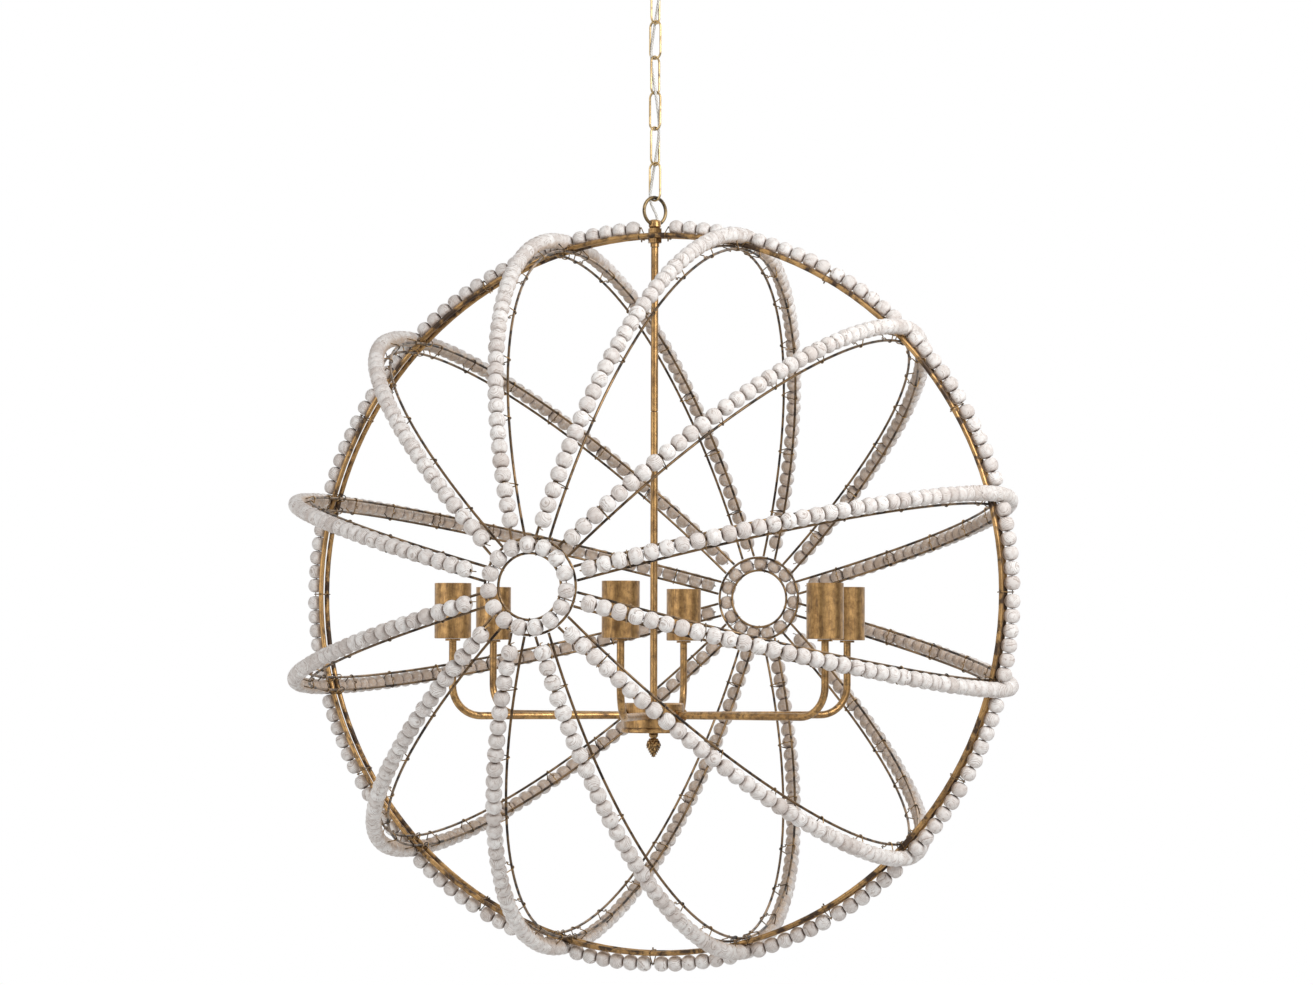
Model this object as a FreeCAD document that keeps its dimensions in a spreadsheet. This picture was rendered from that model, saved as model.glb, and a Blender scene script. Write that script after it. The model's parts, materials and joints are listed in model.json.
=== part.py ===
import FreeCAD, Part
import Sketcher
import math
import os
import re

# Beaded globe chandelier hung from a ceiling canopy on a chain.
# Millimetres and degrees, +Z up, origin at the middle of the canopy's ceiling face.
# The main ring lies in the XZ plane and the globe's two hubs lie on its Y axis.

Vec = FreeCAD.Vector
X_AXIS = Vec(1, 0, 0)
Y_AXIS = Vec(0, 1, 0)
Z_AXIS = Vec(0, 0, 1)

SIZES = [
    # clearances
    ("seat_gap", 0.3),
    ("wire_gap", 0.35),
    ("cut_overrun", 1.0),
    # ceiling fitting
    ("canopy_dia", 127.0),
    ("canopy_depth", 28.0),
    ("canopy_wall", 1.2),
    ("canopy_neck_dia", 44.0),
    ("crossbar_length", 108.0),
    ("crossbar_width", 16.0),
    ("crossbar_thick", 2.5),
    ("slot_spacing", 88.9),
    ("slot_length", 9.0),
    ("slot_width", 5.0),
    ("nipple_dia", 9.7),
    ("nipple_bore", 7.2),
    ("nipple_engage", 5.6),
    ("crossbar_nut_flats", 15.0),
    ("crossbar_nut_height", 5.0),
    ("collar_nut_dia", 26.0),
    ("collar_nut_height", 6.0),
    ("loop_boss_dia", 17.0),
    ("loop_boss_height", 12.0),
    # chain and the two loops
    ("link_wire_dia", 2.7),
    ("link_length", 49.3),
    ("link_width", 18.6),
    ("link_count", 6),
    ("link_turn", 71.0),
    ("loop_wire_dia", 4.2),
    ("loop_dia", 37.6),
    ("loop_turn", 57.0),
    # lamp cord threaded through the chain
    ("cord_dia", 3.2),
    ("cord_weave", 4.35),
    # knuckle, nuts and saddle at the top of the ring
    ("knuckle_dia", 15.0),
    ("knuckle_height", 10.4),
    ("knuckle_hole_height", 4.4),
    ("knuckle_play", 0.6),
    ("top_nut_flats", 15.0),
    ("top_nut_height", 5.6),
    ("saddle_length", 17.0),
    ("saddle_thick", 6.0),
    ("stem_collar_dia", 10.6),
    ("stem_collar_height", 4.6),
    # globe frame
    ("cage_radius", 437.0),
    ("ring_wire_dia", 6.0),
    ("ring_wire_spacing", 18.2),
    ("rib_count", 12),
    ("rib_first_angle", 15.0),
    ("rib_wire_dia", 3.1),
    ("rib_wire_spacing", 16.2),
    ("hub_radius", 54.2),
    ("hub_wire_dia", 3.0),
    ("hub_wire_spacing", 16.8),
    # beads, their strings and the tie wires
    ("bead_dia", 19.8),
    ("bead_length", 17.25),
    ("bead_hole_dia", 3.0),
    ("bead_gap", 0.3),
    ("string_dia", 1.2),
    ("string_sag", 1.7),
    ("tie_dia", 1.3),
    ("hub_tie_dia", 0.8),
    ("tie_slot", 1.8),
    ("tie_tail", 3.2),
    ("beads_per_tie", 5),
    ("hub_beads_per_tie", 3),
    ("lift_reach", 74.0),
    # stem and arms
    ("stem_dia", 9.0),
    ("stem_bore", 6.6),
    ("stem_upper_length", 201.0),
    ("stem_lower_length", 355.0),
    ("stem_nipple_dia", 6.2),
    ("stem_nipple_bore", 3.8),
    ("stem_nipple_length", 30.0),
    ("body_dia", 74.0),
    ("body_height", 30.0),
    ("body_wall", 1.6),
    ("plate_dia", 80.0),
    ("plate_thick", 6.0),
    ("plate_round", 1.5),
    ("arm_count", 6),
    ("arm_first_angle", 40.3),
    ("arm_reach", 258.0),
    ("arm_rise", 92.0),
    ("arm_dia", 9.0),
    ("arm_bore", 6.0),
    ("arm_bend", 36.0),
    ("arm_inset", 7.0),
    ("arm_boss_dia", 14.0),
    ("arm_boss_thick", 4.0),
    ("arm_nut_flats", 14.0),
    ("arm_nut_thick", 3.6),
    # candle cups and lamp holders
    ("cup_dia", 44.0),
    ("cup_height", 66.0),
    ("cup_wall", 1.3),
    ("cup_seat_dia", 18.0),
    ("cup_seat_thick", 2.5),
    ("holder_dia", 35.0),
    ("holder_height", 50.0),
    ("holder_bore", 27.0),
    ("holder_floor", 12.0),
    ("holder_foot_dia", 20.0),
    ("holder_foot_height", 6.0),
    # finial under the body
    ("finial_neck_dia", 12.0),
    ("finial_neck_height", 6.0),
    ("finial_cone_dia", 19.6),
    ("finial_cone_height", 25.0),
    ("finial_tiers", 6),
    ("finial_stud_dia", 5.0),
    ("finial_stud_length", 16.0),
]

ALIASES = {alias for alias, _ in SIZES}

doc = FreeCAD.newDocument("beaded_chandelier")
sheet = doc.addObject("Spreadsheet::Sheet", "sizes")
for row, (alias, number) in enumerate(SIZES, start=1):
    sheet.set("A%d" % row, alias)
    sheet.set("B%d" % row, str(number))
    sheet.setAlias("B%d" % row, alias)
doc.recompute()

NODES = []


def size(words):
    """Value of a sheet alias or of an expression of aliases."""
    return float(sheet.evalExpression(words))


def bind(item, prop, words):
    """Ties a property to an expression of the sheet's aliases."""
    item.setExpression(prop, re.sub(r"[a-z_]+", from_sheet, words))


def from_sheet(match):
    word = match.group(0)
    return "sizes." + word if word in ALIASES else word


def node(item, name):
    """Gives a finished sub-part its label, which is also its file name."""
    item.Label = name
    NODES.append((name, item))
    return item


def direction(degrees):
    """Horizontal unit vector at an angle from +X, seen from above."""
    angle = math.radians(degrees)
    return Vec(math.cos(angle), math.sin(angle), 0)


def at(place, rotation=None):
    return FreeCAD.Placement(place, rotation or FreeCAD.Rotation())


def level(height):
    return Vec(0, 0, height)


def turned(degrees):
    return FreeCAD.Rotation(Z_AXIS, degrees)


def frame_at(place, across, outward):
    """Placement whose local X runs across, Y outward and Z along the string."""
    along = across.cross(outward)
    return FreeCAD.Placement(place, FreeCAD.Rotation(across, outward, along, "YXZ"))


def coded(name, shape):
    """Part::Feature for a shape worked out in code from the sheet's sizes."""
    item = doc.addObject("Part::Feature", name)
    item.Shape = shape
    return item


def cylinder(name, diameter, height, placement):
    item = doc.addObject("Part::Cylinder", name)
    bind(item, "Radius", "(" + diameter + ") / 2")
    bind(item, "Height", height)
    item.Placement = placement
    return item


def hexagon(name, flats, height, placement):
    item = doc.addObject("Part::Prism", name)
    item.Polygon = 6
    bind(item, "Circumradius", "(" + flats + ") / sqrt(3)")
    bind(item, "Height", height)
    item.Placement = placement
    return item


def torus(name, radius, wire, placement):
    item = doc.addObject("Part::Torus", name)
    bind(item, "Radius1", radius)
    bind(item, "Radius2", "(" + wire + ") / 2")
    item.Placement = placement
    return item


def cut(name, base, tool):
    item = doc.addObject("Part::Cut", name)
    item.Base = base
    item.Tool = tool
    return item


def fuse(name, pieces):
    item = doc.addObject("Part::MultiFuse", name)
    item.Shapes = pieces
    return item


def compound(name, pieces):
    item = doc.addObject("Part::Compound", name)
    item.Links = pieces
    return item


def placed(pattern, placements):
    """Equal solids: a placed copy of one shape at each placement."""
    solids = []
    for placement in placements:
        solid = pattern.copy()
        solid.Placement = placement.multiply(pattern.Placement)
        solids.append(solid)
    return solids


def copies(name, pattern, placements):
    doc.recompute()
    return coded(name, Part.makeCompound(placed(pattern.Shape, placements)))


def revolved(name, outline, placement):
    """PartDesign body turned about Z from a closed outline of (radius, height) expressions."""
    body = doc.addObject("PartDesign::Body", name + "_body")
    plane = [f for f in body.Origin.OriginFeatures if f.Role == "XZ_Plane"][0]
    axis = [f for f in body.Origin.OriginFeatures if f.Role == "Z_Axis"][0]
    sketch = body.newObject("Sketcher::SketchObject", name + "_outline")
    sketch.AttachmentSupport = [(plane, "")]
    sketch.MapMode = "FlatFace"
    points = [(size(radius), size(height)) for radius, height in outline]
    count = len(points)
    for index, (radius, height) in enumerate(points):
        following = points[(index + 1) % count]
        line = Part.LineSegment(Vec(radius, height, 0), Vec(following[0], following[1], 0))
        sketch.addGeometry(line, False)
    for index in range(count):
        sketch.addConstraint(Sketcher.Constraint("Coincident", index, 2, (index + 1) % count, 1))
    for index, words in enumerate(outline):
        for kind, axis_line, expression in (("DistanceX", -2, words[0]), ("DistanceY", -1, words[1])):
            value = size(expression)
            if value == 0:
                sketch.addConstraint(Sketcher.Constraint("PointOnObject", index, 1, axis_line))
            else:
                number = sketch.addConstraint(Sketcher.Constraint(kind, -1, 1, index, 1, value))
                bind(sketch, "Constraints[%d]" % number, expression)
    turn = body.newObject("PartDesign::Revolution", name + "_turn")
    turn.Profile = sketch
    turn.ReferenceAxis = (axis, [""])
    turn.Angle = 360
    body.Placement = placement
    return body


def line_edge(start, finish):
    return Part.LineSegment(start, finish).toShape()


def arc_edge(start, middle, finish):
    return Part.Arc(start, middle, finish).toShape()


def rounded_path(points, bends):
    """Straight runs from point to point, with an arc of its own bend radius at each corner."""
    edges = []
    start = points[0]
    for before, here, after, bend in zip(points, points[1:], points[2:], bends):
        run_in = (here - before).normalize()
        run_out = (after - here).normalize()
        turn = run_in.getAngle(run_out)
        back = bend * math.tan(turn / 2)
        leave = here + run_out * back
        inward = (run_out - run_in).normalize()
        edges.append(line_edge(start, here - run_in * back))
        edges.append(arc_edge(here - run_in * back, here + inward * (bend / math.cos(turn / 2) - bend), leave))
        start = leave
    edges.append(line_edge(start, points[-1]))
    return Part.Wire(edges)


def round_bar(path, start, tangent, diameter):
    """Solid of a round section swept along a path from its start."""
    section = Part.Wire(Part.Circle(start, tangent, diameter / 2).toShape())
    return path.makePipeShell([section], True, True)


# levels, worked out downwards from the ceiling
gap = size("seat_gap")
link_inner = size("link_length - link_wire_dia")
loop_radius = size("(loop_dia - loop_wire_dia) / 2")
collar_top = -size("canopy_depth + seat_gap")
boss_top = collar_top - size("collar_nut_height + seat_gap")
boss_bottom = boss_top - size("loop_boss_height")
canopy_loop_top = boss_bottom + size("loop_wire_dia")
hinge_levels = [canopy_loop_top - 2 * loop_radius]
link_tops = []
hang_of_link = size("link_wire_dia + seat_gap")
hang_of_loop = size("(link_wire_dia + loop_wire_dia) / 2 + seat_gap")
for index in range(int(size("link_count"))):
    hang = hang_of_loop if index == 0 else hang_of_link
    link_tops.append(hinge_levels[-1] + hang)
    hinge_levels.append(link_tops[-1] - link_inner)
top_loop_top = hinge_levels[-1] + hang_of_loop
knuckle_hinge = top_loop_top - 2 * loop_radius
hinge_levels.append(knuckle_hinge)
knuckle_bottom = knuckle_hinge - size("knuckle_hole_height")
upper_nut_bottom = knuckle_bottom - gap - size("top_nut_height")
ring_level = upper_nut_bottom - gap - size("saddle_thick / 2")
lower_nut_bottom = ring_level - size("saddle_thick / 2 + seat_gap + top_nut_height")
stem_collar_bottom = lower_nut_bottom - size("seat_gap + stem_collar_height")
stem_upper_bottom = stem_collar_bottom - gap - size("stem_upper_length")
stem_lower_bottom = stem_upper_bottom - gap - size("stem_lower_length")
cage_level = ring_level - size("cage_radius")
cage_centre = level(cage_level)
body_top = stem_lower_bottom - gap
arm_level = body_top - size("body_height / 2")
cup_floor = arm_level + size("arm_rise")
body_bottom = body_top - size("body_height")
plate_top = body_bottom - gap
plate_bottom = plate_top - size("plate_thick")

# ceiling fitting: canopy, crossbar, nipple with its nut, collar nut and loop
canopy = revolved("canopy", [
    ("canopy_dia / 2 - canopy_wall", "0"),
    ("canopy_dia / 2", "0"),
    ("canopy_dia / 2", "-canopy_depth * 0.3"),
    ("canopy_dia * 0.44", "-canopy_depth * 0.62"),
    ("canopy_neck_dia / 2", "-canopy_depth * 0.9"),
    ("canopy_neck_dia / 2 - canopy_wall", "-canopy_depth"),
    ("nipple_dia / 2 + seat_gap", "-canopy_depth"),
    ("nipple_dia / 2 + seat_gap", "-canopy_depth + canopy_wall"),
    ("canopy_neck_dia / 2 - 2 * canopy_wall", "-canopy_depth + canopy_wall"),
    ("canopy_neck_dia / 2 - canopy_wall", "-canopy_depth * 0.9 + canopy_wall"),
    ("canopy_dia * 0.44 - canopy_wall", "-canopy_depth * 0.62 + canopy_wall"),
    ("canopy_dia / 2 - canopy_wall", "-canopy_depth * 0.3 + canopy_wall * 0.4"),
], at(level(0)))
node(canopy, "canopy")

bar = doc.addObject("Part::Box", "crossbar_blank")
bind(bar, "Length", "crossbar_length")
bind(bar, "Width", "crossbar_width")
bind(bar, "Height", "crossbar_thick")
bind(bar, "Placement.Base.x", "-crossbar_length / 2")
bind(bar, "Placement.Base.y", "-crossbar_width / 2")
bind(bar, "Placement.Base.z", "-crossbar_thick")
bar_tools = []
below_bar = level(-size("crossbar_thick + cut_overrun"))
bar_cut_height = "crossbar_thick + 2 * cut_overrun"
bar_tools.append(cylinder("crossbar_hole", "nipple_dia + 2 * seat_gap", bar_cut_height, at(below_bar)))
for side in (-1, 1):
    tag = "left" if side < 0 else "right"
    for end in (-1, 1):
        end_tag = tag + ("_inner" if end < 0 else "_outer")
        reach = side * size("slot_spacing / 2") + end * size("(slot_length - slot_width) / 2")
        spot = Vec(reach, 0, below_bar.z)
        bar_tools.append(cylinder("slot_end_" + end_tag, "slot_width", bar_cut_height, at(spot)))
    slot = doc.addObject("Part::Box", "slot_middle_" + tag)
    bind(slot, "Length", "slot_length - slot_width")
    bind(slot, "Width", "slot_width")
    bind(slot, "Height", bar_cut_height)
    centre = side * size("slot_spacing / 2")
    slot.Placement = at(Vec(centre - size("(slot_length - slot_width) / 2"), -size("slot_width / 2"), below_bar.z))
    bar_tools.append(slot)
node(cut("crossbar_cut", bar, fuse("crossbar_openings", bar_tools)), "canopy_crossbar")

nipple_top = -size("seat_gap")
nipple_bottom = boss_top - size("nipple_engage")
nipple = cut(
    "nipple_cut",
    coded("nipple_rod", Part.makeCylinder(size("nipple_dia / 2"), nipple_top - nipple_bottom, level(nipple_bottom))),
    cylinder("nipple_hole", "nipple_bore", "2 * canopy_depth", at(level(nipple_bottom - size("cut_overrun")))),
)
node(nipple, "canopy_nipple")

crossbar_nut_top = -size("crossbar_thick + seat_gap")
crossbar_nut_place = at(level(crossbar_nut_top - size("crossbar_nut_height")))
crossbar_nut = cut(
    "crossbar_nut_cut",
    hexagon("crossbar_nut_blank", "crossbar_nut_flats", "crossbar_nut_height", crossbar_nut_place),
    cylinder("crossbar_nut_hole", "nipple_dia + 2 * seat_gap", "crossbar_nut_height", crossbar_nut_place),
)

collar_nut = revolved("collar_nut", [
    ("nipple_dia / 2 + seat_gap", "0"),
    ("collar_nut_dia / 2 * 0.78", "0"),
    ("collar_nut_dia / 2", "collar_nut_height * 0.3"),
    ("collar_nut_dia / 2", "collar_nut_height * 0.8"),
    ("collar_nut_dia / 2 * 0.94", "collar_nut_height"),
    ("nipple_dia / 2 + seat_gap", "collar_nut_height"),
], at(level(boss_top + gap)))
node(compound("canopy_nut_pair", [crossbar_nut, collar_nut]), "canopy_nuts")

# the two planes of the chain: the loop on the ceiling and every second link share one
link_planes = [size("link_turn"), size("link_turn") - 90]
loop_plane = size("loop_turn")


def ring_in_plane(plane):
    """Rotation that stands a ring about Z up on edge in a vertical plane."""
    return FreeCAD.Rotation(direction(plane), Z_AXIS, direction(plane - 90), "YXZ")


def cord_hole(name, plane, side, bottom, height):
    spot = direction(plane + 90) * (side * size("cord_weave"))
    return cylinder(name, "cord_dia + 2 * seat_gap", height, at(Vec(spot.x, spot.y, bottom)))


ceiling_loop_ring = torus(
    "canopy_loop_ring", "(loop_dia - loop_wire_dia) / 2", "loop_wire_dia",
    at(level(canopy_loop_top - loop_radius), ring_in_plane(link_planes[1])))
boss = revolved("loop_boss", [
    ("0", "0"),
    ("loop_boss_dia / 2 * 0.7", "0"),
    ("loop_boss_dia / 2", "loop_boss_height * 0.3"),
    ("loop_boss_dia / 2", "loop_boss_height"),
    ("0", "loop_boss_height"),
], at(level(boss_bottom)))
boss_bore = cylinder("boss_bore", "nipple_dia + 2 * seat_gap", "2 * nipple_engage",
                     at(level(boss_top - size("nipple_engage + seat_gap"))))
boss_way = cord_hole("boss_cord_way", link_planes[1], 1, boss_bottom - size("cut_overrun"),
                     "loop_boss_height - nipple_engage + 2 * cut_overrun")
node(cut("canopy_loop_cut", fuse("canopy_loop_blank", [boss, ceiling_loop_ring]),
         fuse("canopy_loop_openings", [boss_bore, boss_way])), "canopy_loop")

# chain links: a bent round wire, each turned a quarter from the one above
link_half = size("(link_width - link_wire_dia) / 2")
link_leg = link_inner / 2 - link_half


def link_shape():
    up = level(link_leg)
    side = X_AXIS * link_half
    top = level(link_inner / 2)
    edges = [
        line_edge(side - up, side + up),
        arc_edge(side + up, top, up - side),
        line_edge(up - side, -side - up),
        arc_edge(-side - up, -top, side - up),
    ]
    return round_bar(Part.Wire(edges), side - up, Z_AXIS, size("link_wire_dia"))


link_pattern = link_shape()
for index, top in enumerate(link_tops):
    name = "chain_link_%d" % (index + 1)
    link = coded(name, link_pattern.copy())
    link.Placement = at(level(top - link_inner / 2), turned(link_planes[index % 2]))
    node(link, name)

top_loop = torus("top_loop_ring", "(loop_dia - loop_wire_dia) / 2", "loop_wire_dia",
                 at(level(top_loop_top - loop_radius), ring_in_plane(loop_plane)))
node(top_loop, "top_loop")

# shares of the eye's height for the cord's end, of the weave for its last turn, and of a run for its arcs
CORD_END_SHARE = 0.45
CORD_WEDGE_SHARE = 1.62
CORD_ARC_SHARE = 0.45

# knuckle: a turned head with a curved eye for the loop, and a way for the cord
knuckle_head = revolved("knuckle", [
    ("stem_nipple_dia / 2 + seat_gap", "0"),
    ("knuckle_dia / 2 * 0.8", "0"),
    ("knuckle_dia / 2", "knuckle_height * 0.18"),
    ("knuckle_dia / 2", "knuckle_height * 0.72"),
    ("knuckle_dia / 2 * 0.9", "knuckle_height * 0.9"),
    ("knuckle_dia / 2 * 0.66", "knuckle_height"),
    ("0", "knuckle_height"),
    ("0", "knuckle_hole_height * 0.3"),
    ("stem_nipple_dia / 2 + seat_gap", "knuckle_hole_height * 0.3"),
], at(level(knuckle_bottom)))
knuckle_eye = torus("knuckle_eye", "(loop_dia - loop_wire_dia) / 2", "loop_wire_dia + 2 * knuckle_play",
                    at(level(knuckle_hinge + loop_radius), ring_in_plane(loop_plane)))
cord_end = knuckle_hinge - size("knuckle_hole_height") * CORD_END_SHARE
knuckle_way = cord_hole("knuckle_cord_way", loop_plane, -1, cord_end - gap, "knuckle_height")
node(cut("knuckle_cut", knuckle_head, fuse("knuckle_openings", [knuckle_eye, knuckle_way])), "loop_knuckle")

# lamp cord: one straight-and-arc tube woven from side to side of the chain, cut at each hinge
weave = size("cord_weave")
first_across = direction(link_planes[1])
second_across = direction(link_planes[0])
weave_sides = [(1, 1), (-1, 1), (-1, -1), (1, -1)]
cord_points = [
    direction(link_planes[1] + 90) * weave + level(boss_bottom + size("loop_boss_height / 4")),
    direction(link_planes[1] + 90) * weave + level(boss_bottom - size("loop_dia / 4")),
]
for index, hinge in enumerate(hinge_levels[:-2]):
    along_first, along_second = weave_sides[index % len(weave_sides)]
    cord_points.append(first_across * (along_first * weave) + second_across * (along_second * weave) + level(hinge))
wedge = direction((loop_plane + link_planes[1] + 360) / 2)
cord_points.append(wedge * (weave * CORD_WEDGE_SHARE) + level(hinge_levels[-2]))
knuckle_cord = direction(loop_plane + 90) * -weave
cord_points.append(knuckle_cord + level(knuckle_bottom + size("knuckle_height + loop_wire_dia")))
cord_points.append(knuckle_cord + level(cord_end))


def cord_radii():
    """Bend radius at each corner of the cord, as large as its two runs allow."""
    radii = []
    for before, here, after in zip(cord_points, cord_points[1:], cord_points[2:]):
        turn = (here - before).getAngle(after - here)
        shorter = min((here - before).Length, (after - here).Length)
        radii.append(CORD_ARC_SHARE * shorter / math.tan(turn / 2))
    return radii


cord_path = rounded_path(cord_points, cord_radii())
cord_solid = round_bar(cord_path, cord_points[0], cord_points[1] - cord_points[0], size("cord_dia"))
cord_volume = math.pi * size("cord_dia / 2") ** 2 * cord_path.Length
print("cord radii", [round(radius, 1) for radius in cord_radii()])
print("cord length %.1f volume ratio %.4f" % (cord_path.Length, cord_solid.Volume / cord_volume))
slab_half = size("loop_dia")
cord_cuts = [cord_points[0].z + gap] + hinge_levels + [cord_points[-1].z - gap]
for index, (upper, lower) in enumerate(zip(cord_cuts, cord_cuts[1:])):
    slab = Part.makeBox(2 * slab_half, 2 * slab_half, upper - lower, Vec(-slab_half, -slab_half, lower))
    stretch = cord_solid.common(slab)
    node(coded("cord_stretch_%d" % index, stretch.Solids[0]), "cord_stretch_%d" % index)

# nuts, saddle, collar and nipples that clamp the ring between knuckle and stem
nipple_room = "stem_nipple_dia + 2 * seat_gap"
nut_pieces = []
for tag, bottom in (("upper", upper_nut_bottom), ("lower", lower_nut_bottom)):
    blank = hexagon("top_nut_blank_" + tag, "top_nut_flats", "top_nut_height", at(level(bottom)))
    hole = cylinder("top_nut_hole_" + tag, nipple_room, "top_nut_height", at(level(bottom)))
    nut_pieces.append(cut("top_nut_" + tag, blank, hole))
node(compound("top_nut_pair", nut_pieces), "top_nuts")

saddle = doc.addObject("Part::Box", "saddle_blank")
bind(saddle, "Length", "saddle_length")
bind(saddle, "Width", "ring_wire_spacing - ring_wire_dia - 2 * seat_gap")
bind(saddle, "Height", "saddle_thick")
saddle.Placement = at(Vec(-size("saddle_length / 2"),
                          -size("(ring_wire_spacing - ring_wire_dia) / 2 - seat_gap"),
                          ring_level - size("saddle_thick / 2")))
saddle_bottom = at(level(ring_level - size("saddle_thick / 2")))
saddle_hole = cylinder("saddle_hole", nipple_room, "saddle_thick", saddle_bottom)
node(cut("saddle_cut", saddle, saddle_hole), "ring_saddle")

stem_collar_place = at(level(stem_collar_bottom))
stem_collar = cut("stem_collar_cut",
                  cylinder("stem_collar_blank", "stem_collar_dia", "stem_collar_height", stem_collar_place),
                  cylinder("stem_collar_hole", nipple_room, "stem_collar_height", stem_collar_place))
node(stem_collar, "stem_collar")


def pipe_length(name, outer, inner, top, bottom):
    """Straight tube between two levels."""
    rod = coded(name + "_rod", Part.makeCylinder(size(outer) / 2, top - bottom, level(bottom)))
    hole = coded(name + "_hole", Part.makeCylinder(size(inner) / 2, top - bottom, level(bottom)))
    return cut(name, rod, hole)


top_nipple_top = knuckle_bottom + size("knuckle_hole_height * 0.3") - gap
top_nipple_bottom = stem_collar_bottom - size("stem_nipple_length / 2")
joint_half = size("stem_nipple_length / 2")
stem_nipples = [
    pipe_length("top_nipple", "stem_nipple_dia", "stem_nipple_bore", top_nipple_top, top_nipple_bottom),
    pipe_length("joint_nipple", "stem_nipple_dia", "stem_nipple_bore",
                stem_upper_bottom + joint_half, stem_upper_bottom - gap - joint_half),
    pipe_length("foot_nipple", "stem_nipple_dia", "stem_nipple_bore",
                stem_lower_bottom + joint_half, body_top - size("body_wall + 2 * seat_gap + arm_nut_thick")),
]
node(compound("stem_nipple_group", stem_nipples), "stem_nipples")

stem_edge = "stem_dia * 0.07"


def stem_tube(name, length, bottom):
    """Tube with its outer edges eased, so a joint shows as a fine groove."""
    inner = "stem_bore / 2"
    return revolved(name, [
        (inner, "0"),
        ("stem_dia / 2 - " + stem_edge, "0"),
        ("stem_dia / 2", stem_edge),
        ("stem_dia / 2", length + " - " + stem_edge),
        ("stem_dia / 2 - " + stem_edge, length),
        (inner, length),
    ], at(level(bottom)))


node(stem_tube("stem_upper", "stem_upper_length", stem_upper_bottom), "stem_upper")
node(stem_tube("stem_lower", "stem_lower_length", stem_lower_bottom), "stem_lower")

# main ring: two parallel round wires
ring_turn = FreeCAD.Rotation(X_AXIS, 90)
ring_half = size("ring_wire_spacing / 2")
ring_wires = []
for tag, side in (("front", -1), ("rear", 1)):
    place = cage_centre + Y_AXIS * (side * ring_half)
    ring_wires.append(torus("ring_wire_" + tag, "cage_radius", "ring_wire_dia", at(place, ring_turn)))
node(compound("ring_wire_pair", ring_wires), "main_ring")

# ribs: half circles of two thin wires that pass inside the ring's wires
rib_count = int(size("rib_count"))
rib_words = "cage_radius - ring_wire_dia / 2 - wire_gap - rib_wire_dia / 2"
rib_radius = size(rib_words)
rib_half = size("rib_wire_spacing / 2")
hub_outer = size("hub_radius")
hub_inner = size("hub_radius - hub_wire_spacing")
rib_end = math.sqrt((hub_outer + size("hub_wire_dia / 2 + 2 * seat_gap")) ** 2 - rib_half ** 2)
rib_reach_angle = math.degrees(math.acos(rib_end / rib_radius))


def rib_angle(index):
    """Angle of a rib about Y, clockwise from the top as seen from the front."""
    return size("rib_first_angle") + index * 360 / rib_count


def spoke(degrees):
    """Unit vector in the ring's plane, clockwise from the top."""
    angle = math.radians(degrees)
    return Vec(math.sin(angle), 0, math.cos(angle))


for index in range(rib_count):
    angle = rib_angle(index)
    outward = spoke(angle)
    across = spoke(angle + 90)
    wires = []
    for tag, side in (("left", -1), ("right", 1)):
        arc = torus("rib_wire_%02d_%s" % (index + 1, tag), rib_words, "rib_wire_dia", at(cage_centre))
        arc.Angle3 = 2 * rib_reach_angle
        reach = math.radians(rib_reach_angle)
        start = outward * math.cos(reach) - Y_AXIS * math.sin(reach)
        axis = outward.cross(Y_AXIS)
        rotation = FreeCAD.Rotation(start, axis.cross(start), axis, "ZXY")
        arc.Placement = at(cage_centre + across * (side * rib_half), rotation)
        wires.append(arc)
    node(compound("rib_pair_%02d" % (index + 1), wires), "rib_%02d" % (index + 1))

# hub rings: two concentric wires on the globe's surface at each end of its axis
for tag, side in (("front", -1), ("rear", 1)):
    wires = []
    for kind, words in (("outer", "hub_radius"), ("inner", "hub_radius - hub_wire_spacing")):
        depth = side * math.sqrt(rib_radius ** 2 - size(words) ** 2)
        place = cage_centre + Y_AXIS * depth
        wires.append(torus("hub_%s_%s" % (tag, kind), words, "hub_wire_dia", at(place, ring_turn)))
    node(compound("hub_pair_" + tag, wires), "hub_ring_" + tag)

# bead: a drilled ball with flat ends
bead_slab = cylinder("bead_slab", "bead_dia + cut_overrun", "bead_length", at(level(-size("bead_length / 2"))))
bead_ball = doc.addObject("Part::Sphere", "bead_ball")
bind(bead_ball, "Radius", "bead_dia / 2")
bead_round = doc.addObject("Part::Common", "bead_round")
bead_round.Base = bead_ball
bead_round.Tool = bead_slab
bead_hole = cylinder("bead_hole", "bead_hole_dia", "2 * bead_length", at(level(-size("bead_length"))))
bead = cut("bead_pattern", bead_round, bead_hole)
doc.recompute()

bead_length = size("bead_length")
bead_gap = size("bead_gap")
tie_slot = size("tie_slot")
beads_per_tie = int(size("beads_per_tie"))


def seat_height(half_spacing, wire_dia):
    """How far a bead's centre stands out from the line between the two wires that carry it."""
    reach = size("bead_dia / 2 + seat_gap") + wire_dia / 2
    return math.sqrt(reach ** 2 - half_spacing ** 2)


def row_offsets(room, group, first_group):
    """Bead centres along half a row from its middle bead, and the middles of its tie slots."""
    beads = [0.0]
    ties = []
    place = 0.0
    in_group = first_group
    while True:
        slot = in_group == 0
        step = bead_length + (tie_slot if slot else bead_gap)
        if place + step + bead_length / 2 > room:
            break
        if slot:
            ties.append(place + step / 2)
            in_group = group
        place += step
        in_group -= 1
        beads.append(place)
    return beads, ties, room - place - bead_length / 2


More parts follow.
